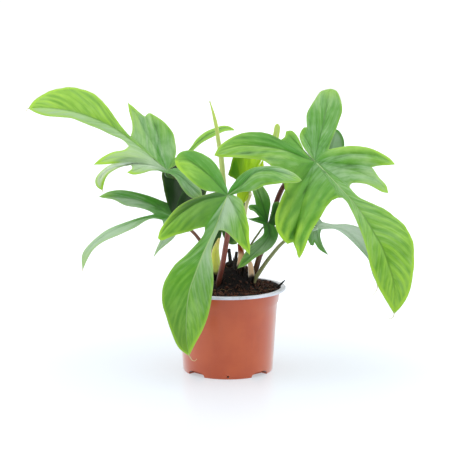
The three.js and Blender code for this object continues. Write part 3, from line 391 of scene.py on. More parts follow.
         [[96, 206], [84, 208], [76, 210]]),
    ],
    "back_low": [
        ([[-1, 148, -26], [5, 138, -20], [9, 131, -15]],
         [[-6.5, 149], [-4, 137], [3, 130.5]],
         [[9, 148], [11, 138]], [5, 157]),
        ([[6, 166, -42], [13, 170, -54], [20, 172, -66]],
         [[14, 162]],
         [[13, 177]], [4, 176]),
        ([[-6, 171, -46], [-7, 177, -60], [-8, 182, -76], [-9, 186, -92]],
         [[0, 178], [-3, 184]],
         [[-14, 178], [-13, 184]], [-16, 176]),
        ([[-18, 164, -44], [-30, 168, -58], [-40, 170, -72]],
         [[-28, 177], [-37, 175]],
         [[-28, 157], [-37, 163]], [-17, 150]),
        ([[-11, 148, -27], [-14, 134, -19], [-16, 123, -13]],
         [[-20, 140], [-19, 128]],
         [[-6, 146.5], [-7.3, 138], [-9.5, 133], [-12, 128]]),
    ],
}

# How each leaf's lobes look, in the same order: how far the side veins lean along the rib,
# how deep the pleats along them are, how pale the rib's line is, then tone and glow. tone
# runs from -1 for deep green, which is painted shade, to 1 for pale green, which is a painted
# sheen, and goes on to painted deep shadow and a painted white sheen beyond these. glow runs
# from 0 to 1 for yellow-green, partly the blade's own colour and partly painted light that
# shines through it.
# Each is one number, or three at the hub, halfway and at the tip, or two such sets, for a
# lobe's clockwise and its anticlockwise half.
LOOKS = {
    "high_left": [
        (4, 0.3, 0.3, ((-0.3, -0.3, 0), (0, 0, 0)), ((0.2, 0.4, 0.5), (0.3, 0.5, 0.6))),
        (4, 0.9, 0.2, ((0.2, 0.3, 0.4), (0.2, 0.6, 0.4)), ((0, 0.1, 0.4), (0, 0.1, 0.5))),
        (4, 1.0, 0.2, ((-0.1, 0.5, 0.6), (-0.1, 0.6, 0.6)), ((0, 0.1, 0.6), (0, 0.2, 0.6))),
        (0.5, 0.38, 0.5, ((0.3, 0.25, 0.2), (0.6, 0.8, 1.0)), ((0.2, 0.7, 0.9), (0.1, 0.3, 0.6))),
        (4, 0.15, 0.1, ((1.0, 1.5, 0.6), (1.2, 1.5, 0.5)), (0, 0.5, 0.9)),
        (4, 0.1, 0, ((1.0, 2.4, 1.8), (1.2, 2.8, 2.2)), ((0, 0.2, 0.6), (0, 0.3, 0.8))),
        (4, 0.1, 0.1, ((1.0, 1.4, 0.9), (1.0, 1.4, 0.8)), ((0, 0.1, 0.5), (0, 0.2, 0.8))),
        (4, 0.3, 0.2, ((0.3, 0.4, 0.6), (0.2, 0.5, 0.6)), 0),
    ],
    "front": [
        (3, 0.3, 0.1, ((0.1, 0, -0.1), (-0.2, -0.1, 0)), ((0, 0.1, 0), (0, 0.4, 1))),
        (3.2, 0.4, 0.2, ((-0.8, -1.2, -0.3), (-0.5, -0.6, 0)), ((0, 0.1, 0.7), (0.1, 0.3, 0.7))),
        (0.7, 0.35, 1, ((0.7, 0.0, -0.9), (0.9, 0.6, 0)), ((0, 0.25, 0.5), (0, 0.2, 0.8))),
        (2.2, 0.4, 0.3, ((1.3, 0.4, -0.4), (0.8, 0.2, -0.2)), ((0, 0.3, 0.8), (0, 0.4, 1.0))),
        (3.2, 0.4, 0.4, ((0.2, 0.35, 0.3), (0, 0.45, 0.5)), ((0, 0.3, 0.2), (0, 0, 0))),
    ],
    "right": [
        (4, 0.3, 0, (0, 0, 0.1), (0.1, 0.2, 0.2)),
        (3.6, 0.6, 0.2, ((-0.1, 0, 0.2), (-0.1, 0.4, 0.3)), ((0, 0.1, 0.6), (0.1, 0.5, 0.6))),
        (4, 0.75, 0.3, ((-0.2, -0.4, -0.4), (0.5, -0.3, -0.2)), ((0, 0.4, 0.9), (0, 0.3, 0.8))),
        (4, 0.7, 0.2, ((0.5, -0.4, -0.1), (0.5, 0, 0)), ((0, 0.4, 0.8), (0, 0.3, 0.6))),
        (0.5, 0.32, 0.62, ((0.4, 0.35, 0.2), (0.2, 0.3, 0.2)), ((0, 0.4, 1), (0, 0.5, 1))),
        (3.6, 0.6, 0.2, (0.3, 0.6, 0.4), (0, 0.2, 0.5)),
        (3.6, 0.6, 0.3, ((0.1, 0.5, 0.3), (0, 0.3, 0.2)), ((0, 0.3, 0.5), (0, 0.5, 0.6))),
        (2.6, 0.3, 0, ((0.1, 0.25, 0.5), (0.2, 0.25, 0.4)), (0, 0.1, 0.2)), (4, 0.4, 0, 0.2, 0.1),
    ],
    "low_left": [
        # The first lobe's tone, far below -1, paints it in deep shadow.
        (3, 0.2, 0, -1.8, 0), (3, 0.3, 0.2, ((-0.3, 0.2, 0.4), (0.2, 0.8, 0.6)), 0),
        (2.4, 0.2, 0.1, ((-0.1, 0.8, 1.2), (0, 1.0, 1.3)), 0), (3, 0.2, 0, (0.5, 1.0, 1.3), 0),
    ],
    "young": [
        (3, 0.4, 0.2, (0, 0.1, 0.3), (0.4, 0.8, 0.9)), (3, 0.4, 0.2, (0, 0.3, 0.9), (0.4, 0.5, 0.2)),
        (3, 0.4, 0.2, ((0, -0.8, -0.9), (0.2, -0.9, -1.2)), ((0.4, 0.3, 0), (0, 0, 0))),
        (3, 0.4, 0.2, (0.2, 0, 0), (0.7, 1, 0.6)),
    ],
    "small": [
        (3, 0.3, 0.1, ((-0.2, 0.2, 0.3), (-0.4, 0, 0.4)), (0, 0.2, 0.4)), (3, 0.3, 0.1, (-0.3, 0, 0), 0),
        (3, 0.3, 0.1, (-0.3, 0, 0), 0),
        (3, 0.3, 0.1, ((-0.3, 0.8, -0.2), (-0.1, 0.9, -0.2)), (0.1, 0.1, 0.4)),
        (3, 0.3, 0.1, (-0.7, -0.6, -0.5), 0),
    ],
    "low_right": [
        (3, 0.3, 0.1, (0, -0.5, -0.5), (0.5, 0.9, 1)), (3, 0.3, 0.1, (0, -0.5, -0.5), (0.5, 0.9, 1)),
        (3, 0.3, 0.1, (0.6, 0.5, 0.2), ((0, 0.1, 0.5), (0, 0, 0.3))), (3, 0.3, 0.1, 0, 0),
        (3, 0.3, 0.1, 0, 0),
    ],
    "back_right": [(3, 0.3, 0.1, 0, (0.6, 0.7, 0.7))] * 4,
    # Its tone paints the shade that falls on it behind the front leaves.
    "back_low": [(3, 0.2, 0.1, -0.8, 0)] * 5,
}

# Lobes whose pleats run side by side and don't spring from their own rib: the axis that
# they are counted along, 0 for across and 1 for up, and along the other axis the place
# where their slope is given, that slope, and its bend for each millimetre
FIELDS = {
    ("high_left", 1): (0, 220, -0.15, 0),
    ("high_left", 2): (0, 220, -0.15, 0),
    ("right", 2): (0, 120, 0.1, 0.0093),
    ("right", 3): (0, 120, 0.1, 0.0093),
    ("right", 5): (1, 107, 0.4, -0.0157),
    ("right", 6): (1, 107, 0.4, -0.0157),
}

# The dry threads that some lobes end in: the lobe, and the path that follows its tip
TAILS = {
    "high_left": [(3, [[-204.8, 267, -32], [-204, 263.2, -32]]), (5, [[-128, 183, -6]])],
    "front": [(2, [[-39.3, 11.5, 83.5], [-37.6, 8.6, 84], [-34.7, 7.5, 84.5], [-32.3, 9.6, 84]])],
    "right": [(4, [[171.5, 54, 59], [168.5, 52.5, 58], [166.5, 54.5, 57]])],
    "low_right": [(2, [[154.5, 84.5, -72], [151.5, 79, -72], [146.8, 75.3, -71]])],
    "low_left": [(2, [[-149.5, 101, 42]])],
}

SPEAR = [[-9, 72, 4], [-6.5, 108, 3], [-0.8, 138, -2], [-2.8, 176, -8], [-5, 199, -12], [-7, 220, -15],
         [-10, 239, -17], [-12, 253, -18], [-15, 266, -18], [-18.5, 277.5, -18]]
SPEAR_RADII = [2.4, 2.0, 1.9, 1.9, 1.9, 2.1, 2.7, 2.8, 2.3, 1.9, 0.5]

# Sheaths: the path of the roll's middle and its radius along it, the colours outside, inside,
# at the edges, tip and foot, and where along the roll the tip's colour starts and the foot's ends
SHEATHS = {
    "sheath_green": {
        "path": [[-12, 92, 15], [-12.5, 113, 16], [-12.5, 126, 17], [-9, 137, 18]],
        "radii": [3.8, 4.6, 3.6, 0.9], "slot": "sheath_green",
        "colours": [0xfafcb0, 0xf2f896, 0xfffbe4, 0xf4eaa8, 0x1d1510], "tip": 0.85, "foot": 0.46,
    },
    "sheath_peach": {
        "path": [[13, 96, 22], [13.5, 108, 23], [14, 119, 24], [11, 131, 26]],
        "radii": [3.0, 3.6, 3.0, 0.9], "slot": "sheath_dry",
        "colours": [0xffe8c8, 0xfce0b8, 0xfff6e4, 0xa04818, 0x241812], "tip": 0.72, "foot": 0.6,
    },
    "sheath_pale": {
        "path": [[24, 88, 20], [24, 103, 21], [22.8, 111, 22], [19.2, 119, 23]],
        "radii": [1.8, 2.7, 2.4, 0.8], "slot": "sheath_dry",
        "colours": [0xfff0da, 0xfde4c4, 0xfff8ee, 0xe8b080, 0x241812], "tip": 0.85, "foot": 0.52,
    },
}

# Dead stubs of old stalks and the chip of bark at the rim: path, radii and pale colour
STUBS = {
    "stub_left": ([[2, 92, 8], [2.6, 110, 8.5], [1, 126, 9]], [2.2, 2.0, 1.7], 0x4c4434),
    "stub_right": ([[6, 88, 16], [7, 106, 16], [9, 123, 16]], [2.6, 2.1, 1.5], 0x4c4434),
    "twig": ([[46, 76, 4], [49.8, 84, 4], [54.2, 88.4, 4], [59.2, 93.4, 4]], [1.3, 1.3, 1.2, 0.6], 0x2a211a),
}


def seen(points):
    """Turns places as they are seen from the front into the part's frame, in millimetres.

    across and up are read on the upright plane through the pot's axis, and near is the
    distance that a point then comes forward, along its line of sight.
    """
    p = np.atleast_2d(np.asarray(points, float))
    flat = np.stack([p[:, 0], np.zeros(len(p)), p[:, 1]], 1)
    pull = (p[:, 2] / -EYE[1])[:, None]
    return flat + (EYE - flat) * pull


class Curve:
    """A smooth line through points, read by the fraction of its length."""

    def __init__(self, points, samples=24):
        p = np.asarray(points, float)
        p = np.vstack([2 * p[0] - p[1], p, 2 * p[-1] - p[-2]])
        t = np.linspace(0, 1, samples, endpoint=False)[:, None]
        runs = []
        for p0, p1, p2, p3 in zip(p[:-3], p[1:-2], p[2:-1], p[3:]):
            d0, d1, d2 = (np.linalg.norm(b - a) ** 0.5 for a, b in ((p0, p1), (p1, p2), (p2, p3)))
            leave = ((p1 - p0) / d0 - (p2 - p0) / (d0 + d1) + (p2 - p1) / d1) * d1
            arrive = ((p2 - p1) / d1 - (p3 - p1) / (d1 + d2) + (p3 - p2) / d2) * d1
            square = 3 * (p2 - p1) - 2 * leave - arrive
            cube = 2 * (p1 - p2) + leave + arrive
            runs.append(p1 + t * leave + t ** 2 * square + t ** 3 * cube)
        self.measure(np.vstack([*runs, p[-2:-1]]))

    def measure(self, points):
        """Keeps the points, with how far along the line each of them lies."""
        steps = np.linalg.norm(np.diff(points, axis=0), axis=1)
        self.points = points
        self.length = steps.sum()
        self.reach = np.concatenate([[0], np.cumsum(steps)]) / self.length

    def smoothed(self, reach):
        """The same line with its corners rounded over a length of about reach."""
        count = max(int(self.length / SMOOTH_STEP), 4)
        places = self.at(np.linspace(0, 1, count + 1))
        for _ in range(int(2 * (reach / SMOOTH_STEP) ** 2)):
            places[1:-1] = 0.5 * places[1:-1] + 0.25 * (places[:-2] + places[2:])
        self.measure(places)
        return self

    def at(self, fraction):
        columns = [np.interp(fraction, self.reach, column) for column in self.points.T]
        return np.stack(columns, -1)


def ease(x, low=0.0, high=1.0):
    """Rises smoothly from 0 at low to 1 at high, or falls if low is the larger."""
    t = np.clip((np.asarray(x, float) - low) / (high - low), 0, 1)
    return t * t * (3 - 2 * t)


def along(values, fraction):
    """Reads evenly spaced values, or a single one, by a fraction from 0 to 1."""
    values = np.atleast_1d(values)
    return np.interp(fraction, np.linspace(0, 1, len(values)), values)


def rough(points, size, seed=0.0):
    """Smooth noise from about -1 to 1 at each point, with lumps of about the given size."""
    shift = Vector((seed, 2 * seed, 3 * seed))
    return np.array([noise.noise(Vector(p) / size + shift) for p in points])


def normals_of(points, faces):
    a, b, c, d = (points[faces[:, k]] for k in range(4))
    face = np.cross(c - a, d - b)
    total = np.zeros_like(points)
    for k in range(4):
        np.add.at(total, faces[:, k], face)
    return total / np.maximum(np.linalg.norm(total, axis=1, keepdims=True), 1e-12)


def edges_of(faces):
    """The directed edges of all faces. A face with a repeated corner has one edge less."""
    pairs = np.vstack([faces[:, [k, (k + 1) % 4]] for k in range(4)])
    return pairs[pairs[:, 0] != pairs[:, 1]]


def open_edges(faces):
    """The directed edges of a sheet that only one face uses."""
    known = set(map(tuple, edges_of(faces).tolist()))
    return [(a, b) for a, b in known if (b, a) not in known]


def grid_faces(rows, columns, closed=False):
    """Squares between rows of points; a closed grid joins each row's end to its start."""
    width = columns if closed else columns + 1
    k = np.arange(rows)[:, None]
    j = np.arange(columns)[None]
    a = k * width + j
    b = k * width + (j + 1) % width
    return np.stack([a, b, b + width, a + width], -1).reshape(-1, 4)


def fan(start, count, centre):
    """Faces from a closed ring of points to one point, as squares with a repeated corner."""
    j = np.arange(count)
    hub = np.full(count, centre)
    return np.stack([start + j, start + (j + 1) % count, hub, hub], 1)


def doubled(faces, rim_pairs, count):
    """Faces of a closed shell from those of a sheet, whose other side's points come after it."""
    return [faces, faces[:, ::-1] + count, np.array([(a + count, b + count, b, a) for a, b in rim_pairs])]


def tidy_faces(faces):
    """Turns squares with a repeated corner into triangles and drops what has collapsed."""
    kept = []
    for face in faces.tolist() if isinstance(faces, np.ndarray) else faces:
        short = [c for k, c in enumerate(face) if c != face[k - 1]]
        if len(set(short)) >= 3:
            kept.append(short)
    return kept


def new_object(name, points, faces):
    """A mesh object in the scene, from points in millimetres."""
    mesh = bpy.data.meshes.new(name)
    mesh.from_pydata((np.asarray(points) * MM).tolist(), [], tidy_faces(faces))
    thing = bpy.data.objects.new(name, mesh)
    bpy.context.scene.collection.objects.link(thing)
    return thing


def add_piece(name, points, faces, material, nodes, attributes=None, sharp=60):
    """Makes a mesh object that rides on the part and stands for CAD nodes."""
    piece = new_object(name, points, faces)
    for key, values in (attributes or {}).items():
        layer = piece.data.attributes.new(key, "FLOAT", "POINT")
        layer.data.foreach_set("value", np.asarray(values, np.float32))
    piece.data.materials.append(material)
    piece.data.shade_smooth()
    piece.data.set_sharp_from_angle(angle=math.radians(sharp))
    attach(piece, "root")
    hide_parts(*nodes)


def sweep_frames(points):
    """Two directions square to a path at each of its points, without twist."""
    tangents = np.gradient(points, axis=0)
    tangents /= np.linalg.norm(tangents, axis=1, keepdims=True)
    side = np.cross(tangents[0], [0.3, -1, 0.2])
    sides = []
    for tangent in tangents:
        side = side - tangent * (side @ tangent)
        side = side / np.linalg.norm(side)
        sides.append(side)
    sides = np.array(sides)
    return sides, np.cross(tangents, sides)


def tube(path, radii, sides, step, shape=None):
    """A closed round tube and how far along it each point lies.

    shape gives each ring's radius as a factor, from that fraction and the angle.
    """
    curve = Curve(path)
    rows = max(3, math.ceil(curve.length / step))
    s = np.linspace(0, 1, rows + 1)
    centres = curve.at(s)
    u, v = sweep_frames(centres)
    angle = np.arange(sides) / sides * TURN
    radius = along(radii, s)[:, None] * (shape(s[:, None], angle[None]) if shape else np.ones((1, sides)))
    ring = u[:, None] * np.cos(angle)[None, :, None] + v[:, None] * np.sin(angle)[None, :, None]
    points = (centres[:, None] + ring * radius[..., None]).reshape(-1, 3)
    n = len(points)
    points = np.vstack([points, centres[:1], centres[-1:]])
    foot = fan(0, sides, n)[:, [1, 0, 2, 3]]
    faces = np.vstack([grid_faces(rows, sides, closed=True), foot, fan(n - sides, sides, n + 1)])
    return points, faces, np.concatenate([np.repeat(s, sides), [0, 1]])


# Leaf blades
def nearest(rib, places):
    """The fraction along a rib that lies nearest to each place as it is seen, and its point."""
    fractions = np.linspace(0, 1, 61)
    on = rib.at(fractions)
    gap = np.hypot(on[None, :, 0] - places[:, :1], on[None, :, 1] - places[:, 1:2])
    best = gap.argmin(1)
    return fractions[best], on[best]


def beside(rib, slope, places):
    """Points on the blade beside a rib: they come forward from it by the blade's slope."""
    places = np.atleast_2d(np.asarray(places, float))
    _, on = nearest(rib, places)
    near = on[:, 2] + slope[0] * (places[:, 0] - on[:, 0]) + slope[1] * (places[:, 1] - on[:, 1])
    return np.column_stack([places, near])


def read_lobes(name):
    """The ribs, notches and edges of a leaf's lobes, as curves."""
    leaf = LEAVES[name]
    lobes = []
    for rib, clockwise, anticlockwise, *rest in LOBES[name]:
        notch, slope = (rest + [None, None])[:2]
        lobes.append({"rib": Curve([leaf["hub"], *rib]), "slope": slope or leaf["slope"], "notch": notch,
                      "clockwise": clockwise, "anticlockwise": anticlockwise, "before": None, "after": None})
    for one, two in zip(lobes[:-1], lobes[1:]):
        sides = [beside(lobe["rib"], lobe["slope"], one["notch"]) for lobe in (one, two)]
        one["after"] = two["before"] = (sides[0] + sides[1])[0] / 2
    for lobe in lobes:
        rib = lobe["rib"]
        cuts = [cut for cut in (lobe["before"], lobe["after"]) if cut is not None]
        lobe["foot"] = VEIN_SLANT * np.mean([nearest(rib, cut[None])[0][0] for cut in cuts])
        lobe["rows"] = max(12, math.ceil((1 - lobe["foot"]) * rib.length / ROW_STEP))
        for side, key in (("before", "clockwise"), ("after", "anticlockwise")):
            start = lobe[side] if lobe[side] is not None else np.array(leaf["hub"], float)
            edge = Curve([start, *beside(rib, lobe["slope"], lobe[key]), rib.at(1.0)])
            lobe[key] = edge.smoothed(min(EDGE_SMOOTH, 0.03 * edge.length))
    return lobes


def half_lobe(lobe, neighbour, side):
    """A grid of points from the rib to one edge of a lobe, with what its look needs.

    Its inner rows reach to the seam with the next lobe, up to the notch. The outer rows reach
    to the free edge.
    """
    rib, foot, rows = lobe["rib"], lobe["foot"], lobe["rows"]
    notch = lobe["before" if side == "clockwise" else "after"]
    total = INNER_ROWS + rows
    k = np.arange(total + 1)
    u = np.clip(k / INNER_ROWS, 0, 1)
    outward = np.clip((k - INNER_ROWS) / rows, 0, 1)
    s = foot * u + (1 - foot) * outward
    on_rib = rib.at(s)
    edge = lobe[side]
    if notch is None:
        on_edge = edge.at(k / total)
        arc = k / total * edge.length
        shared = np.zeros(total + 1)
        free = np.ones(total + 1)
    else:
        middle = (rib.at(foot * u) + neighbour["rib"].at(neighbour["foot"] * u)) / 2
        seam = middle + (notch - middle[INNER_ROWS]) * u[:, None]
        on_edge = np.where((k <= INNER_ROWS)[:, None], seam, edge.at(outward))
        arc = outward * edge.length
        shared = 1 - ease(k, INNER_ROWS, INNER_ROWS + 0.3 * rows)
        free = ease(k, INNER_ROWS, INNER_ROWS + 3)
    width = np.linalg.norm(on_edge - on_rib, axis=1)
    columns = int(np.clip(math.ceil(width.max() / COLUMN_STEP), 7, 20))
    t = (np.arange(columns + 1) / columns)[None] ** 1.25
    points = on_rib[:, None] * (1 - t)[..., None] + on_edge[:, None] * t[..., None]
    between, at_seam = shared[:, None], (shared * (1 - ease(k, 0.4 * INNER_ROWS, INNER_ROWS)))[:, None]
    lift = (1 - between) * 4 * t * (1 - t) + t * (between * 2 * (1 - t) + at_seam * t)
    faces = grid_faces(total, columns)
    values = {"s": s, "down": s * rib.length, "arc": arc, "wide": width, "seamed": shared}
    values = {key: value[:, None] for key, value in values.items()}
    values.update({"t": t, "away": width[:, None] * t, "lift": BULGE * width[:, None] * lift,
                   "wave": free[:, None] * t ** 3})
    values = {key: np.broadcast_to(value, lift.shape).ravel() for key, value in values.items()}
    return points.reshape(-1, 3), faces[:, ::-1] if side == "anticlockwise" else faces, values


def dressed(name, i, h, points, values):
    """Adds what a half lobe's folds and colours follow: phase runs across the side veins."""
    veins, fold, pale, tone, glow = LOOKS[name][i]
    tone, glow = (v[h] if isinstance(v, tuple) and isinstance(v[0], tuple) else v for v in (tone, glow))
    if (name, i) in FIELDS:
        axis, start, slope, bend = FIELDS[name, i]
        far = points[:, 1 - axis] - start
        phase = points[:, axis] - slope * far - 0.5 * bend * far ** 2
        values["down"] = np.abs(far + start - LEAVES[name]["hub"][1 - axis])
        turn = axis
    else:
        lean = veins * (1 + 0.7 * values["t"])
        phase = (values["down"] - lean * values["away"]) / np.sqrt(1 + lean ** 2)
        turn = i * 1.7 + h * 0.6
    values.update({"phase": phase, "tone": along(tone, values["s"]), "glow": along(glow, values["s"])})
    for key, value in (("fielded", (name, i) in FIELDS), ("fold", fold), ("pale", pale), ("turn", turn)):
        values[key] = np.full(len(points), float(value))
    return values


def sheet(name, lobes):
    """A leaf's blade as one sheet of points and faces, with the values at its points."""
    points, faces, values, start = [], [], [], 0
    for i, lobe in enumerate(lobes):
        for h, side in enumerate(("clockwise", "anticlockwise")):
            neighbour = lobes[i - 1] if side == "clockwise" else lobes[(i + 1) % len(lobes)]
            more, more_faces, more_values = half_lobe(lobe, neighbour, side)
            values.append(dressed(name, i, h, more, more_values))
            points.append(more)
            faces.append(more_faces + start)
            start += len(more)
    points = np.vstack(points)
    _, first, same = np.unique(np.round(points, 4), axis=0, return_index=True, return_inverse=True)
    same = same.ravel()
    count = np.bincount(same)
    value = {key: np.bincount(same, weights=np.concatenate([v[key] for v in values])) / count
             for key in values[0]}
    faces = same[np.vstack(faces)]
    return points[first], faces[:, ::-1] if LEAVES[name].get("turned") else faces, value


def relax(points, faces, fixed, rounds):
    """Moves points towards the mean of their neighbours, apart from the fixed ones."""
    pairs = edges_of(faces)
    pairs = np.vstack([pairs, pairs[:, ::-1]])
    count = np.bincount(pairs[:, 0], minlength=len(points))[:, None]
    for _ in range(rounds):
        total = np.zeros_like(points)
        np.add.at(total, pairs[:, 0], points[pairs[:, 1]])
        moved = 0.5 * points + 0.5 * total / np.maximum(count, 1)
        points = np.where(fixed[:, None], points, moved)
    return points


def edge_distance(points, rim):
    """How far each point lies from the nearest point of the margin."""
    found = np.empty(len(points))
    for start in range(0, len(points), 1000):
        some = points[start:start + 1000]
        found[start:start + 1000] = np.sqrt(((some[:, None] - points[rim][None]) ** 2).sum(2).min(1))
    return found


def fold_depth(value, drift):
    """How deep the pleats are: none at the hub, at a rib or at a seam, and less at an edge."""
    plain = 1 - value["fielded"]
    beside_rib = np.maximum(ease(value["away"], 0.5, 6), value["fielded"])
    fold = value["fold"] * (1 + drift) * beside_rib * ease(value["down"], 8, 40)
    fold *= 1 - value["seamed"] * ease(value["t"], 0.4, 1) * plain
    return fold * (1 - 0.6 * ease(value["t"], 0.7, 1) * plain)


def relief(value, fold, drift):
    """How far the sheet stands out: its bulges, pleats, wavy margin and the grooves at its ribs."""
    pleat = 0.4 * fold * np.cos((value["phase"] + DRIFT * drift) / PLEAT * TURN)
    wave = np.sin(value["arc"] / 24 * TURN + 2 * value["turn"]) + 0.4 * np.sin(value["arc"] / 10 * TURN)
    wave *= 0.5 * value["wave"] * ease(value["arc"], 2, 12) * (1 - ease(value["s"], 0.85, 1))
    wave *= ease(value["wide"], 6, 26)
    groove = -0.5 * np.exp(-(value["away"] / 1.5) ** 2) * (1 - value["s"]) * ease(value["down"], 4, 22)
    return value["lift"] + pleat + wave + groove * (1 - value["fielded"])


def blade(name):
    """A leaf's blade as a closed shell: its points, faces and what its material reads."""
    lobes = read_lobes(name)
    points, faces, value = sheet(name, lobes)
    points = seen(points)
    rim_pairs = open_edges(faces)
    rim = np.zeros(len(points), bool)
    rim[[a for a, _ in rim_pairs]] = True
    points = relax(points, faces, rim | (value["away"] < 1e-6), 10)
    none_fixed = np.zeros(len(points), bool)
    tone, glow = relax(np.column_stack([value["tone"], value["glow"]]), faces, none_fixed, 8).T
    edge = edge_distance(points, rim)
    drift = rough(points, 26, 4.0)
    fold = fold_depth(value, drift)
    points = points + normals_of(points, faces) * relief(value, fold, drift)[:, None]

    normal = normals_of(points, faces)
    keel = KEEL * (1 - value["s"]) * np.exp(-(value["away"] / 1.1) ** 2)
    n = len(points)
    shell = doubled(faces, rim_pairs, n)
    read = {
        "phase": value["phase"] + DRIFT * drift, "rib": value["away"] + 9 * value["fielded"],
        "edge": edge, "reach": value["s"], "fold": fold, "pale": value["pale"], "down": value["down"],
        "seed": value["turn"], "tone": tone, "glow": glow, "tail": np.zeros(n),
    }
    read = {key: np.tile(v, 2) for key, v in read.items()}
    read["under"] = np.repeat([0.0, 0.0 if LEAVES[name].get("turned") else 1.0], n)
    points = np.vstack([points + normal * (BLADE / 2), points - normal * (BLADE / 2 + keel)[:, None]])

    for index, path in TAILS.get(name, []):
        root = lobes[index]["rib"].at([0.985, 1.0])
        radii = TAIL_RADIUS * np.array([1, 0.8, 0.5, 0.3])
        more, more_faces, _ = tube(seen([*root, *path]), radii, 8, 0.7)
        shell.append(more_faces + len(points))
        points = np.vstack([points, more])
        for key in read:
            extra = 1.0 if key in ("tail", "reach") else 0.0
            read[key] = np.concatenate([read[key], np.full(len(more), extra)])
    return points, np.vstack(shell), read


# Materials
def colour(code):
    """A colour written as it looks, such as 0x5da83a, as the light that it sends back."""
    parts = [((code >> shift) & 255) / 255 for shift in (16, 8, 0)]
    return [p / 12.92 if p < 0.04045 else ((p + 0.055) / 1.055) ** 2.4 for p in parts] + [1]


class Look:
    """A material or world whose nodes are added by short calls. Lengths are in millimetres."""

    def __init__(self, name, owners=bpy.data.materials):
        self.owner = owners.new(name)
        self.owner.use_nodes = True
        self.tree = self.owner.node_tree
        self.tree.nodes.clear()
        self.place = self.add("ShaderNodeTexCoord").outputs["Object"]

    def add(self, kind, inputs=None, **settings):
        node = self.tree.nodes.new(kind)
        for key, value in settings.items():
            setattr(node, key, value)
        for key, value in (inputs or {}).items():
            if isinstance(value, bpy.types.NodeSocket):
                self.tree.links.new(value, node.inputs[key])
            else:
                node.inputs[key].default_value = value
        return node

    def read(self, attribute):
        return self.add("ShaderNodeAttribute", attribute_name=attribute).outputs["Fac"]

    def maths(self, operation, a, b=0.0, c=0.0, clamp=False):
        inputs = {0: a, 1: b, 2: c}
        return self.add("ShaderNodeMath", inputs, operation=operation, use_clamp=clamp).outputs[0]

    def plus(self, a, b, clamp=False):
        return self.maths("ADD", a, b, clamp=clamp)

    def minus(self, a, b):
        return self.maths("SUBTRACT", a, b)

    def times(self, a, b, clamp=False):
        return self.maths("MULTIPLY", a, b, clamp=clamp)

    def scaled(self, value, factor, shift, clamp=False):
        return self.maths("MULTIPLY_ADD", value, factor, shift, clamp)

    def varied(self, value, *parts):
        """Moves a value up and down by others that run from 0 to 1, each with its weight."""
        for part, weight in parts:
            value = self.scaled(self.minus(part, 0.5), weight, value)
        return value

    def span(self, value, low, high):
        """Rises smoothly from 0 at low to 1 at high, or falls if low is the larger number."""
        inputs = {"Value": value, "From Min": low, "From Max": high}
        linked = isinstance(low, bpy.types.NodeSocket) or isinstance(high, bpy.types.NodeSocket)
        if not linked and low > high:
            inputs = {"Value": value, "From Min": high, "From Max": low, "To Min": 1.0, "To Max": 0.0}
        return self.add("ShaderNodeMapRange", inputs, interpolation_type="SMOOTHSTEP").outputs["Result"]

    def wave(self, value, length):
        """A wave from 0 to 1 along a value."""
        return self.scaled(self.maths("COSINE", self.times(value, TURN / length)), 0.5, 0.5)

    def mix(self, low, high, factor):
        """Blends two colours, each given by its code or by a node."""
        low, high = (colour(hue) if isinstance(hue, int) else hue for hue in (low, high))
        return self.add("ShaderNodeMix", {0: factor, 6: low, 7: high}, data_type="RGBA").outputs[2]

    def streaks(self, across, along, width, length, seed, detail=2.0):
        """Noise from 0 to 1 in streaks, by a place across them and a place along them."""
        inputs = {0: self.maths("DIVIDE", across, width), 1: self.maths("DIVIDE", along, length),
                  2: self.times(seed, 7.3)}
        place = self.add("ShaderNodeCombineXYZ", inputs).outputs[0]
        inputs = {"Vector": place, "Scale": 1.0, "Detail": detail, "Roughness": 0.5}
        return self.add("ShaderNodeTexNoise", inputs).outputs["Fac"]

    def lumps(self, size, detail=2.0, rough=0.5, stretch=None):
        """Noise from 0 to 1 with lumps of the given size, drawn out upwards by stretch."""
        place = self.place
        if stretch:
            place = self.add("ShaderNodeMapping", {0: place, 3: [1, 1, 1 / stretch]}).outputs[0]
        inputs = {"Vector": place, "Scale": 1000 / size, "Detail": detail, "Roughness": rough}
        return self.add("ShaderNodeTexNoise", inputs).outputs["Fac"]

    def bump(self, height, distance, strength):
        inputs = {"Height": height, "Distance": distance * MM, "Strength": strength}
        return self.add("ShaderNodeBump", inputs).outputs[0]

    def surface(self, hue, roughness, normal=None, coat=0.0, coat_roughness=0.3, level=0.5, sheen=0.0):
        inputs = {"Base Color": hue, "Roughness": roughness, "Coat Weight": coat,
                  "Coat Roughness": coat_roughness, "Specular IOR Level": level,
                  "Sheen Weight": sheen, "Sheen Roughness": 0.38}
        if normal:
            inputs["Normal"] = normal
        return self.add("ShaderNodeBsdfPrincipled", inputs).outputs[0]

    def thin(self, front, back, share):
        """A thin sheet that lets through the given share of the light."""
        through = self.add("ShaderNodeBsdfTranslucent", back).outputs[0]
        return self.add("ShaderNodeMixShader", {0: share, 1: front, 2: through}).outputs[0]

    def finish(self, shader):
        self.add("ShaderNodeOutputMaterial", {"Surface": shader})
        return self.owner


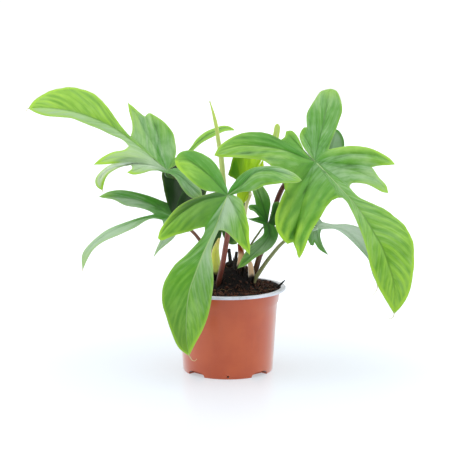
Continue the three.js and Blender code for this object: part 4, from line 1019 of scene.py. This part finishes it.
def blade_look(name, deep, mid, light, painted_sheen_tint, bright, below, through, clear=0.25):
    """A leaf blade. deep, mid and light are the colours of its folds and mottling, and they
    also paint shade and light on its pleats and shade near its hub. The fourth colour is a
    painted sheen, bright the yellow-green of its margins and tips, partly its own colour and
    partly painted light that shines through, below its underside and through the light that
    comes through it, as the share clear."""
    look = Look(name)
    keys = ("phase", "fold", "rib", "pale", "edge", "down", "reach", "tone", "glow", "seed", "under", "tail")
    phase, fold, rib, pale, edge, down, reach, tone, glow, seed, under, tail = map(look.read, keys)
    slow = look.lumps(34)
    grain = look.lumps(2.4, 3, 0.6)
    patches = look.streaks(phase, down, 6, 11, seed, 3.0)
    broad = look.streaks(phase, down, 9, 50, seed)
    fine = look.streaks(phase, down, 2.4, 26, seed, 3.0)

    # Painted shade and light on the pleats, painted shade near the hub, and mottling
    folds = look.wave(look.scaled(slow, 5.0, phase), PLEAT)
    shade = look.times(look.minus(folds, 0.5), look.times(fold, 0.28))
    shade = look.varied(shade, (broad, 0.7), (fine, 0.35), (patches, 0.4), (slow, 0.7), (grain, 0.15),
                        (reach, 0.3))
    shade = look.plus(shade, 0.5, clamp=True)
    hue = look.mix(deep, mid, look.span(shade, 0.0, 0.45))
    hue = look.mix(hue, light, look.span(shade, 0.45, 1.0))

    # Painted sheen, and painted shade that deepens to painted shadow
    painted_sheen_amount = look.varied(tone, (fine, 0.9), (patches, 0.6), (slow, 0.9))
    steps = ((painted_sheen_tint, painted_sheen_amount, 0.0, 1.1), (deep, tone, 0.0, -1.2), (PAINTED_SHADOW_GREEN, tone, -1.0, -2.2),
             (PAINTED_SHEEN_PALE, painted_sheen_amount, 1.1, 2.2), (PAINTED_SHEEN_WHITE, painted_sheen_amount, 2.1, 2.8))
    for code, value, low, high in steps:
        hue = look.mix(hue, code, look.span(value, low, high))

    # Yellow-green between the veins, at the tip and along the margin, partly the blade's own colour and
    # partly painted light that shines through it
    folded = look.times(fold, 0.7, clamp=True)
    bands = look.add("ShaderNodeMix", {0: folded, 2: broad, 3: folds}).outputs[0]
    bands = look.varied(bands, (patches, 0.8))
    lit = look.times(glow, look.scaled(bands, 1.2, 0.1))
    lit = look.maths("MAXIMUM", lit, look.times(look.span(reach, 0.75, 1.0), 0.5))
    band = look.scaled(reach, 0.35, look.times(glow, 1.1))
    near_edge = look.span(edge, look.scaled(glow, 5.0, 3.0), 0.5)
    lit = look.maths("MAXIMUM", lit, look.times(near_edge, band, clamp=True))
    hue = look.mix(hue, bright, lit)

    # The rib: a pale line that thins towards the tip, or else painted shade in its groove
    width = look.scaled(reach, -0.9, look.scaled(pale, 0.6, 0.8))
    end = look.scaled(look.times(pale, pale), 0.9, 0.2)
    fade = look.span(reach, end, look.minus(end, 0.3))
    line = look.times(look.span(look.maths("DIVIDE", rib, width), 1.0, 0.4), fade)
    strength = look.times(pale, 1.3, clamp=True)
    shown = look.times(line, look.scaled(reach, -0.75, 1.0, clamp=True))
    hue = look.mix(hue, RIB_LINE, look.times(shown, strength))
    groove_shade = look.times(look.span(rib, 1.3, 0.2), look.span(reach, 1.0, 0.75))
    groove_shade = look.times(groove_shade, look.minus(1.0, look.times(line, strength)))
    dark = look.maths("MINIMUM", look.scaled(tone, -0.4, 0.5, clamp=True), 0.6)
    hue = look.mix(hue, deep, look.times(groove_shade, dark))

    # Underside, thin edge and dry tail
    hue = look.mix(hue, below, look.times(under, 0.75))
    hue = look.mix(hue, THIN_EDGE, look.times(look.span(edge, 0.6, 0.1), 0.35))
    hue = look.mix(hue, DRY_TAIL, tail)

    height = look.scaled(patches, 1.2, look.scaled(fine, 0.5, look.times(grain, 0.5)))
    normal = look.bump(height, 0.4, 0.5)
    front = look.surface(hue, look.scaled(slow, 0.2, 0.3), normal, level=0.35)
    warm = look.times(look.times(look.span(painted_sheen_amount, 1.3, 0.4), 0.5), look.span(tone, -1.5, -0.3))
    back = {"Color": look.mix(hue, through, warm), "Normal": normal}
    return look.finish(look.thin(front, back, clear))


def stalk_look(name, foot, middle, top):
    """A smooth stalk with its colours at the soil, halfway and at the blade."""
    look = Look(name)
    streaks = look.lumps(3, 3, 0.6, 7)
    specks = look.lumps(0.9)
    at = look.scaled(look.lumps(16, 3), 0.25, look.minus(look.read("reach"), 0.12))
    hue = look.mix(foot, middle, look.span(at, 0.08, 0.42))
    hue = look.mix(hue, top, look.span(at, 0.62, 0.98))
    hue = look.mix(hue, look.mix(hue, 0x3c2a22, 0.55), look.times(look.span(streaks, 0.5, 0.8), 0.6))
    hue = look.mix(hue, 0xd9c6a4, look.times(look.span(specks, 0.62, 0.75), 0.3))
    return look.finish(look.surface(hue, 0.34, look.bump(streaks, 0.25, 0.5), 0.05, 0.25, 0.35))


def dry_look(name, data):
    """A thin sheath, as SHEATHS describes it, with its dry streaks in its edges' colour."""
    outside, inside, edge, tip, foot = data["colours"]
    look = Look(name)
    under, reach, rim = map(look.read, ("under", "reach", "rim"))
    streaks = look.lumps(1.6, 3, 0.6, 12)
    hue = look.mix(outside, inside, under)
    hue = look.mix(hue, look.mix(hue, edge, 0.75), look.span(streaks, 0.48, 0.75))
    hue = look.mix(hue, edge, look.times(rim, 0.85))
    at = look.scaled(look.lumps(9), 0.3, reach)
    hue = look.mix(hue, tip, look.span(at, data["tip"], data["tip"] + 0.25))
    hue = look.mix(hue, foot, look.span(at, data["foot"], data["foot"] - 0.18))
    front = look.surface(hue, 0.5, look.bump(streaks, 0.3, 0.6), 0.05, 0.4)
    return look.finish(look.thin(front, {"Color": hue}, 0.45))


def bark_look(name, dark, pale):
    look = Look(name)
    lumps = look.lumps(2.4, 4, 0.65)
    streaks = look.lumps(1.5, 3, 0.6, 6)
    hue = look.mix(dark, pale, look.span(look.times(lumps, streaks), 0.22, 0.42))
    return look.finish(look.surface(hue, 0.75, look.bump(lumps, 0.6, 0.8)))


def pot_look():
    """Terracotta plastic outside, pale grey inside and on the rim, with scuffs and dust."""
    look = Look("pot_plastic")
    x, y, z = look.add("ShaderNodeSeparateXYZ", {0: look.place}).outputs
    slow = look.lumps(30, 3)
    flow = look.lumps(4, 3, 0.55, 9)
    dust = look.lumps(0.8, 3, 0.6)
    hue = look.mix(0xb64818, 0xc05422, look.span(slow, 0.3, 0.7))
    hue = look.mix(hue, 0x8e3e22, look.times(look.span(flow, 0.5, 0.8), 0.12))
    hue = look.mix(hue, 0xcc9078, look.times(look.span(dust, 0.62, 0.8), 0.15))

    # The wall's middle surface, which parts outside from inside
    radius = look.maths("SQRT", look.plus(look.times(x, x), look.times(y, y)))
    lean = (WALL_TOP_RADIUS - FOOT_RADIUS) / WALL_TOP
    wall = look.scaled(z, lean, (FOOT_RADIUS - 0.5 * WALL) * MM)
    flare = look.span(z, WALL_TOP * MM, (COLLAR_FOOT + COLLAR_FLARE) * MM)
    wall = look.scaled(flare, 1.5 * MM, wall)
    above_floor = look.maths("GREATER_THAN", z, 1.2 * MM)
    inside = look.times(look.maths("LESS_THAN", radius, wall), above_floor)
    rim = look.span(z, (LIP - 0.25) * MM, (LIP + 0.05) * MM)

    # Pale grey inside, and terracotta in the recesses of the foot, darkened there as painted shade
    grey = look.mix(0xc8cedc, 0xe0e4f0, look.span(slow, 0.35, 0.65))
    grey = look.mix(grey, 0x8e8377, look.times(look.span(flow, 0.52, 0.8), 0.35))
    low = look.span(z, 12 * MM, 7 * MM)
    grey = look.mix(grey, 0x84402a, look.times(low, inside))
    hue = look.mix(hue, grey, look.maths("MAXIMUM", inside, rim))
    normal = look.bump(look.plus(flow, look.times(dust, 0.3)), 0.12, 0.15)
    return look.finish(look.surface(hue, look.scaled(slow, 0.16, 0.28), normal, 0.5, 0.35, 0.4, sheen=1.0))


def peat_look():
    """Dark peat with ruddy patches, which turn to a colder dark on the heap."""
    look = Look("peat")
    slow = look.lumps(9, 3)
    grain = look.lumps(1.3, 4, 0.7)
    up = look.add("ShaderNodeSeparateXYZ", {0: look.place}).outputs["Z"]
    high = look.span(look.scaled(slow, 8 * MM, up), (SOIL_LEVEL + 5) * MM, (SOIL_LEVEL + 12) * MM)
    hue = look.mix(0x070505, 0x241814, look.span(grain, 0.45, 0.68))
    ruddy = look.times(look.span(slow, 0.45, 0.65), look.span(grain, 0.45, 0.65))
    hue = look.mix(hue, look.mix(0x5e3828, 0x1c1618, high), ruddy)
    return look.finish(look.surface(hue, 0.85, look.bump(look.plus(grain, slow), 0.9, 0.9), level=0.25))


def bits_look(name, dark, pale):
    """Loose bits, each with a tone of its own between dark and pale."""
    look = Look(name)
    grain = look.lumps(0.9, 3, 0.65)
    at = look.scaled(grain, 0.5, look.minus(look.read("tone"), 0.25), clamp=True)
    return look.finish(look.surface(look.mix(dark, pale, at), 0.8, look.bump(grain, 0.3, 0.7), level=0.3))


# Leaves and their stalks
def stalk_shape(s, a):
    """A groove along the stalk, and a swelling where it meets the blade."""
    return 1 - 0.1 * np.exp(-((a - 1.6) / 0.35) ** 2) * ease(s, 0.1, 0.3) + 0.12 * ease(s, 0.93, 1)


BLADE_LOOKS = {kind: blade_look("blade_" + kind, *colours) for kind, colours in BLADE_COLOURS.items()}
for name, leaf in LEAVES.items():
    kind = leaf["look"]
    points, faces, read = blade(name)
    add_piece("blade_" + name, points, faces, BLADE_LOOKS[kind], ["leaf_" + name], read)

    hub = np.array(leaf["hub"], float)
    under = np.array([*leaf["slope"], -1.0]) * (-1 if leaf.get("turned") else 1)
    under /= np.linalg.norm(under)
    path = [*leaf["stalk"], hub + under * NECK, hub + under * SEAT]
    points, faces, reach = tube(seen(path), leaf["radii"], STALK_SIDES, STALK_STEP, stalk_shape)
    skin = stalk_look("stalk_" + name, *leaf["colours"])
    add_piece("stem_" + name, points, faces, skin, ["stalk_" + name], {"reach": reach})


# The rolled new leaf
def rolled_shape(s, a):
    """The new leaf's margin, which winds round it once and a half."""
    return 0.94 + 0.12 * ((a / TURN - 1.5 * s - 0.1) % 1.0) * ease(s, 0.25, 0.5)


points, faces, reach = tube(seen(SPEAR), SPEAR_RADII, SPEAR_SIDES, SPEAR_STEP, rolled_shape)
skin = stalk_look("spear_skin", 0xa8b878, 0xc3d47e, 0xb7cf5c)
add_piece("spear_rolled", points, faces, skin, ["spear"], {"reach": reach}, 40)


# Sheaths
def add_sheath(name, data):
    """An open roll whose back leans on a stalk. It narrows and waves towards its tip."""
    s = np.linspace(0, 1, SHEATH_ROWS + 1)
    across = np.linspace(-0.5, 0.5, SHEATH_COLUMNS + 1)
    angle = TURN / 4 + across[None] * SHEATH_WRAP * (1 - 0.25 * ease(s, 0.6, 1)[:, None])
    ring = np.stack([np.cos(angle), np.sin(angle), np.zeros_like(angle)], -1)
    grow = 1 + 0.05 * np.sin(5 * angle + 9 * s[:, None]) + 0.1 * np.abs(2 * across[None]) ** 6
    radius = along(data["radii"], s)[:, None] * grow
    middle = (Curve(seen(data["path"])).at(s)[:, None] + ring * radius[..., None]).reshape(-1, 3)
    faces = grid_faces(SHEATH_ROWS, SHEATH_COLUMNS)
    normal = normals_of(middle, faces)
    n = len(middle)
    points = np.vstack([middle + normal * SHEATH_THICK / 2, middle - normal * SHEATH_THICK / 2])
    inward = (normal * ring.reshape(-1, 3)).sum(1).mean() < 0
    rim = ease(np.abs(np.tile(across, SHEATH_ROWS + 1)) * 2, 0.86, 1.0)
    read = {"reach": np.tile(np.repeat(s, SHEATH_COLUMNS + 1), 2), "rim": np.tile(rim, 2),
            "under": np.repeat([1.0, 0.0] if inward else [0.0, 1.0], n)}
    shell = np.vstack(doubled(faces, open_edges(faces), n))
    add_piece(name + "_roll", points, shell, dry_look(name + "_skin", data), [name], read)


for name, data in SHEATHS.items():
    add_sheath(name, data)

# Dead stubs and the chip of bark at the rim
for name, (path, radii, pale) in STUBS.items():
    points, faces, reach = tube(seen(path), radii, 14, 0.8)
    out = points - Curve(seen(path)).at(reach)
    length = np.maximum(np.linalg.norm(out, axis=1, keepdims=True), 1e-9)
    points = points + out / length * (0.25 * rough(points, 2.2, len(name)))[:, None]
    add_piece(name + "_rough", points, faces, bark_look(name + "_bark", 0x0c0807, pale), [name])


# Pot
def turned_solid(name, profile):
    """A closed solid turned about the Z axis from its radii and heights."""
    angle = np.arange(POT_SIDES) / POT_SIDES * TURN
    points = [(r * math.cos(a), r * math.sin(a), z) for r, z in profile for a in angle]
    faces = grid_faces(len(profile) - 1, POT_SIDES, closed=True).tolist()
    faces.append(list(range(POT_SIDES))[::-1])
    faces.append([len(points) - POT_SIDES + k for k in range(POT_SIDES)])
    return new_object(name, points, faces)


def prism(name, step, outline, inner, outer):
    """A solid with an outline across and up, that reaches outwards from one radius to another
    in the given step of the notches' turn."""
    c, s = math.cos(step * TURN / NOTCH_COUNT), math.sin(step * TURN / NOTCH_COUNT)
    points = [(r * c - x * s, r * s + x * c, z) for r in (inner, outer) for x, z in outline]
    n = len(outline)
    faces = [[k, (k + 1) % n, n + (k + 1) % n, n + k] for k in range(n)]
    faces += [list(range(n))[::-1], list(range(n, 2 * n))]
    return new_object(name, points, faces)


def notch_solid(index, wall):
    """The arched space of one foot notch, made larger by the wall's thickness."""
    half, top = NOTCH_WIDTH / 2 + wall, NOTCH_HEIGHT + wall
    right = [(half, -NOTCH_BELOW), *[(half - inwards, share * top) for inwards, share in NOTCH_ARCH],
             (NOTCH_CROWN[0] * half, NOTCH_CROWN[1] * top)]
    arch = [*right, (0, top), *[(-x, z) for x, z in right[::-1]]]
    return prism("notch", index + 0.5, arch, FOOT_RADIUS - NOTCH_DEEP - wall, FOOT_RADIUS + NOTCH_OVERRUN)


def drain_hole(index):
    turns = np.arange(DRAIN_HOLE_SIDES) / DRAIN_HOLE_SIDES * TURN
    centre = FLOOR + DRAIN_HOLE_RADIUS + DRAIN_HOLE_LIFT
    outline = [(DRAIN_HOLE_RADIUS * math.cos(a), centre + DRAIN_HOLE_RADIUS * math.sin(a)) for a in turns]
    return prism("hole", index, outline, FOOT_RADIUS - DRAIN_HOLE_REACH, FOOT_RADIUS + DRAIN_HOLE_REACH)


def cut(solid, *cutters):
    """Takes the cutters away from a solid, and drops them."""
    for cutter in cutters:
        way = solid.modifiers.new("cut", "BOOLEAN")
        way.operation = "DIFFERENCE"
        way.solver = "EXACT"
        way.object = cutter
    ready = solid.evaluated_get(bpy.context.evaluated_depsgraph_get())
    mesh = bpy.data.meshes.new_from_object(ready)
    solid.modifiers.clear()
    solid.data = mesh
    for cutter in cutters:
        bpy.data.objects.remove(cutter)
    return solid


def wall_radius(z):
    return FOOT_RADIUS + (WALL_TOP_RADIUS - FOOT_RADIUS) * z / WALL_TOP


collar_top = COLLAR_FOOT + COLLAR_FLARE
outside = [(FOOT_RADIUS - 0.8, 0), (FOOT_RADIUS - 0.2, 0.3), (FOOT_RADIUS, 0.9),
           *[(wall_radius(z), z) for z in WALL_RINGS],
           (WALL_TOP_RADIUS, WALL_TOP), (COLLAR_FOOT_RADIUS, collar_top), (COLLAR_RADIUS, LIP),
           (RIM_RADIUS - RIM_BEVEL, LIP), (RIM_RADIUS, LIP + RIM_BEVEL),
           (RIM_RADIUS, POT_HEIGHT - RIM_BEVEL), (RIM_RADIUS - 0.25, POT_HEIGHT - 0.2),
           (RIM_RADIUS - 0.8, POT_HEIGHT)]
cavity = [*[(wall_radius(z) - WALL, z) for z in (FLOOR, *WALL_RINGS)],
          (WALL_TOP_RADIUS - WALL, WALL_TOP), (COLLAR_FOOT_RADIUS - WALL, collar_top),
          (COLLAR_RADIUS - WALL, LIP + LIP_ROOT_RISE), (LIP_MOUTH, POT_HEIGHT - LIP_EDGE),
          (LIP_MOUTH, POT_HEIGHT + 2)]
corners = range(NOTCH_COUNT)
hollow = cut(turned_solid("hollow", cavity), *[notch_solid(k, WALL) for k in corners])
shell = cut(turned_solid("shell", outside), hollow, *[notch_solid(k, 0) for k in corners],
            *[drain_hole(k) for k in corners])
points = np.array([vertex.co[:] for vertex in shell.data.vertices]) / MM
faces = [list(polygon.vertices) for polygon in shell.data.polygons]
bpy.data.objects.remove(shell)
add_piece("pot_shell", points, faces, pot_look(), ["pot"], sharp=28)


# Soil
def soil_height(x, near):
    reach = ((x - MOUND["across"]) / MOUND["wide"]) ** 2 + ((near - MOUND["near"]) / MOUND["deep"]) ** 2
    heap = MOUND["height"] * np.exp(-reach ** MOUND["steep"])
    waves = np.sin(LUMP_WAVES["across"] * x + LUMP_WAVES["shift"]) * np.cos(LUMP_WAVES["near"] * near)
    waves += LUMP_WAVES["share"] * np.sin(LUMP_WAVES["broad"] * (x - near))
    return SOIL_LEVEL + heap + LUMP * waves


soil_edge = LIP_MOUTH - GAP
reach = np.linspace(0, 1, SOIL_RINGS + 1)[1:] ** 0.9 * soil_edge
angle = np.arange(SOIL_SPOKES) / SOIL_SPOKES * TURN
x = (reach[:, None] * np.cos(angle)).ravel()
y = (reach[:, None] * np.sin(angle)).ravel()
flat = np.column_stack([x, y, np.zeros_like(x)])
z = soil_height(x, -y) + 1.1 * rough(flat, 5.5, 1.0) + 0.6 * rough(flat, 1.9, 2.0) - 0.2
z += (SOIL_LEVEL - z) * 0.8 * ease(np.hypot(x, y), 50, soil_edge)
side = [(COLLAR_RADIUS - WALL - GAP, LIP - GAP), (COLLAR_FOOT_RADIUS - WALL - GAP, collar_top),
        *[(wall_radius(height) - WALL - SOIL_INSET, height) for height in (WALL_TOP - 1, SOIL_STEP)],
        (SOIL_FOOT, SOIL_STEP - 0.1), (SOIL_FOOT, SOIL_FLOOR)]
skirt = [np.column_stack([r * np.cos(angle), r * np.sin(angle), np.full(SOIL_SPOKES, float(h))])
         for r, h in side]
points = np.vstack([np.column_stack([x, y, z]), *skirt, [[0, 0, soil_height(0.0, 0.0)], [0, 0, SOIL_FLOOR]]])
rings = SOIL_RINGS + len(side) - 1
n = len(points)
hat = fan(0, SOIL_SPOKES, n - 2)[:, [1, 0, 2, 3]]
base = fan(rings * SOIL_SPOKES, SOIL_SPOKES, n - 1)
faces = np.vstack([grid_faces(rings, SOIL_SPOKES, closed=True)[:, ::-1], hat, base])
add_piece("peat_top", points, faces, peat_look(), ["soil"], sharp=80)

# Loose bits on the soil
dice = random.Random(11)
GOLD = (1 + 5 ** 0.5) / 2
BALL = [(-1, GOLD, 0), (1, GOLD, 0), (-1, -GOLD, 0), (1, -GOLD, 0), (0, -1, GOLD), (0, 1, GOLD),
        (0, -1, -GOLD), (0, 1, -GOLD), (GOLD, 0, -1), (GOLD, 0, 1), (-GOLD, 0, -1), (-GOLD, 0, 1)]
BALL_FACES = [(0, 11, 5), (0, 5, 1), (0, 1, 7), (0, 7, 10), (0, 10, 11), (1, 5, 9), (5, 11, 4), (11, 10, 2),
              (10, 7, 6), (7, 1, 8), (3, 9, 4), (3, 4, 2), (3, 2, 6), (3, 6, 8), (3, 8, 9), (4, 9, 5),
              (2, 4, 11), (6, 2, 10), (8, 6, 7), (9, 8, 1)]
CHIP_OUTLINE = [(-1, -0.5), (-0.3, -1), (0.6, -0.9), (1, 0.1), (0.5, 1), (-0.7, 0.8)]


def spread():
    """A random number from -0.5 to 0.5."""
    return dice.random() - 0.5


def on_soil():
    r = SCATTER_REACH * math.sqrt(dice.random())
    a = TURN * dice.random()
    return r * math.cos(a), r * math.sin(a)


def on_heap():
    x = MOUND["across"] + 4 + 18 * spread()
    return x, -MOUND["near"] - 34 * spread()


def crumb():
    size = 0.3 + 1.7 * dice.random() ** 3
    turn = Euler([TURN * dice.random() for _ in range(3)]).to_matrix()
    flat = [size * (0.6 + 0.6 * dice.random()) for _ in range(3)]
    points = []
    for corner in BALL:
        v = Vector(corner).normalized() * (0.75 + 0.5 * dice.random())
        v = turn @ Vector([a * b for a, b in zip(v, flat)])
        points.append((v.x, v.y, v.z + 0.35 * size))
    return points, BALL_FACES


def chip():
    length, width, thick = 1.2 + 2.6 * dice.random(), 0.5 + 0.9 * dice.random(), 0.2 + 0.3 * dice.random()
    turn = Euler((0.5 * spread(), 0.5 * spread(), TURN * dice.random())).to_matrix()
    points = []
    for side in (1, -1):
        for a, b in CHIP_OUTLINE:
            x = a * length * (0.8 + 0.4 * dice.random())
            v = turn @ Vector((x, b * width * (0.7 + 0.6 * dice.random()), side * thick))
            points.append((v.x, v.y, v.z + 0.4))
    n = len(CHIP_OUTLINE)
    faces = [list(range(n)), list(range(n, 2 * n))[::-1]]
    faces += [[n + k, n + (k + 1) % n, (k + 1) % n, k] for k in range(n)]
    return points, faces


def thread(path, radii):
    points, faces, _ = tube(path, radii, 6, 0.9)
    return points.tolist(), tidy_faces(faces)


def rootlet():
    length = 4 + 10 * dice.random()
    heading = TURN * dice.random()
    steps = 5
    path = [[0, 0, 0.2]]
    for k in range(steps):
        heading += 1.1 * spread()
        x, y, _ = path[-1]
        lift = 0.3 + 1.3 * dice.random() * math.sin(math.pi * (k + 1) / steps)
        path.append([x + length / steps * math.cos(heading), y + length / steps * math.sin(heading), lift])
    return thread(path, [0.16 + 0.1 * dice.random(), 0.1])


def splinter():
    """A bit of old bark that sticks up."""
    lean = np.array([7 * spread(), 7 * spread(), 3 + 8 * dice.random() ** 1.5])
    foot = np.array([0, 0, -1.5])
    return thread([foot, foot + lean * [0.7, 0.7, 0.5], foot + lean], [1.1, 0.9, 0.25])


def scatter(name, count, make, look, place=on_soil, heap_shade=0.8):
    """Many loose bits in one mesh. make gives each bit's points and faces about its place.

    Each bit has a random tone, which is darker on the heap by the share heap_shade.
    """
    points, faces, tones = [], [], []
    for _ in range(count):
        x, y = place()
        more, more_faces = make()
        z = float(soil_height(x, -y))
        shade = 1 - heap_shade * min(max((z - SOIL_LEVEL - 2) / 12, 0), 1)
        faces += [[len(points) + k for k in face] for face in more_faces]
        points += [(x + a, y + b, z + c) for a, b, c in more]
        tones += [dice.random() * shade] * len(more)
    add_piece(name, points, faces, look, [], {"tone": tones}, 40)


scatter("peat_crumbs", CRUMBS, crumb, bits_look("peat_crumb", 0x0a0605, 0x623a2a))
scatter("bark_chips", CHIPS, chip, bits_look("bark_chip", 0x140c08, 0x6e4430))
scatter("rootlets", ROOTLETS, rootlet, bits_look("rootlet", 0x4e3420, 0xa88a5c))
scatter("heap_splinters", SPLINTERS, splinter, bits_look("splinter", 0x080504, 0x4c3426), on_heap, 0)

# The floor: a soft gloss over a painted glow of its own, which is weaker near the pot as painted shade round
# it and stronger further out
look = Look("floor_white")
gloss = look.surface([0.36, 0.41, 0.45, 1], 0.24, level=0.3)
away = look.add("ShaderNodeVectorMath", {0: look.place}, operation="LENGTH").outputs["Value"]
strength = look.scaled(look.span(away, 0.1, 0.5), 0.3, 0.46)
lit = look.add("ShaderNodeEmission", {"Color": [0.94, 0.97, 1, 1], "Strength": strength}).outputs[0]
corners = [(x * FLOOR_REACH, y * FLOOR_REACH, 0) for x, y in ((-1, -1), (1, -1), (1, 1), (-1, 1))]
floor = new_object("floor", corners, [[0, 1, 2, 3]])
floor.data.materials.append(look.finish(look.add("ShaderNodeAddShader", {0: gloss, 1: lit}).outputs[0]))

# The studio round it: white at the horizon, dim in front, bright at the sides and above
sky = Look("studio", bpy.data.worlds)
heading = sky.add("ShaderNodeTexCoord").outputs["Generated"]
across, back, up = sky.add("ShaderNodeSeparateXYZ", {0: heading}).outputs
sides = sky.span(sky.maths("ABSOLUTE", across), 0.3, 0.95)
glow = sky.scaled(sides, SIDE_LIGHT, FRONT_LIGHT)
glow = sky.scaled(sky.span(back, -0.2, 0.8), BACK_LIGHT, glow)
glow = sky.scaled(sky.span(up, 0.45, 0.95), TOP_LIGHT, glow)
facing = sky.add("ShaderNodeVectorMath", {0: heading, 1: KEY_HEADING}, operation="DOT_PRODUCT")
glow = sky.scaled(sky.span(facing.outputs["Value"], 0.8, 0.95), KEY_LIGHT, glow)
band = sky.span(up, 0.12, 0.05)
glow = sky.plus(sky.times(glow, sky.minus(1.0, band)), sky.times(band, HORIZON_LIGHT))
shine = sky.add("ShaderNodeBackground", {"Color": [1, 1, 1, 1], "Strength": glow}).outputs[0]
sky.add("ShaderNodeOutputWorld", {"Surface": shine})
bpy.context.scene.world = sky.owner

camera = bpy.data.objects.new("camera", bpy.data.cameras.new("camera"))
camera.data.lens = LENS
camera.data.sensor_width = SENSOR
camera.data.clip_start = 0.05
camera.location = EYE * MM
camera.rotation_euler = (math.radians(90 - TIP_DOWN), 0, 0)
bpy.context.scene.collection.objects.link(camera)
bpy.context.scene.camera = camera
bpy.context.scene.view_settings.view_transform = "Standard"
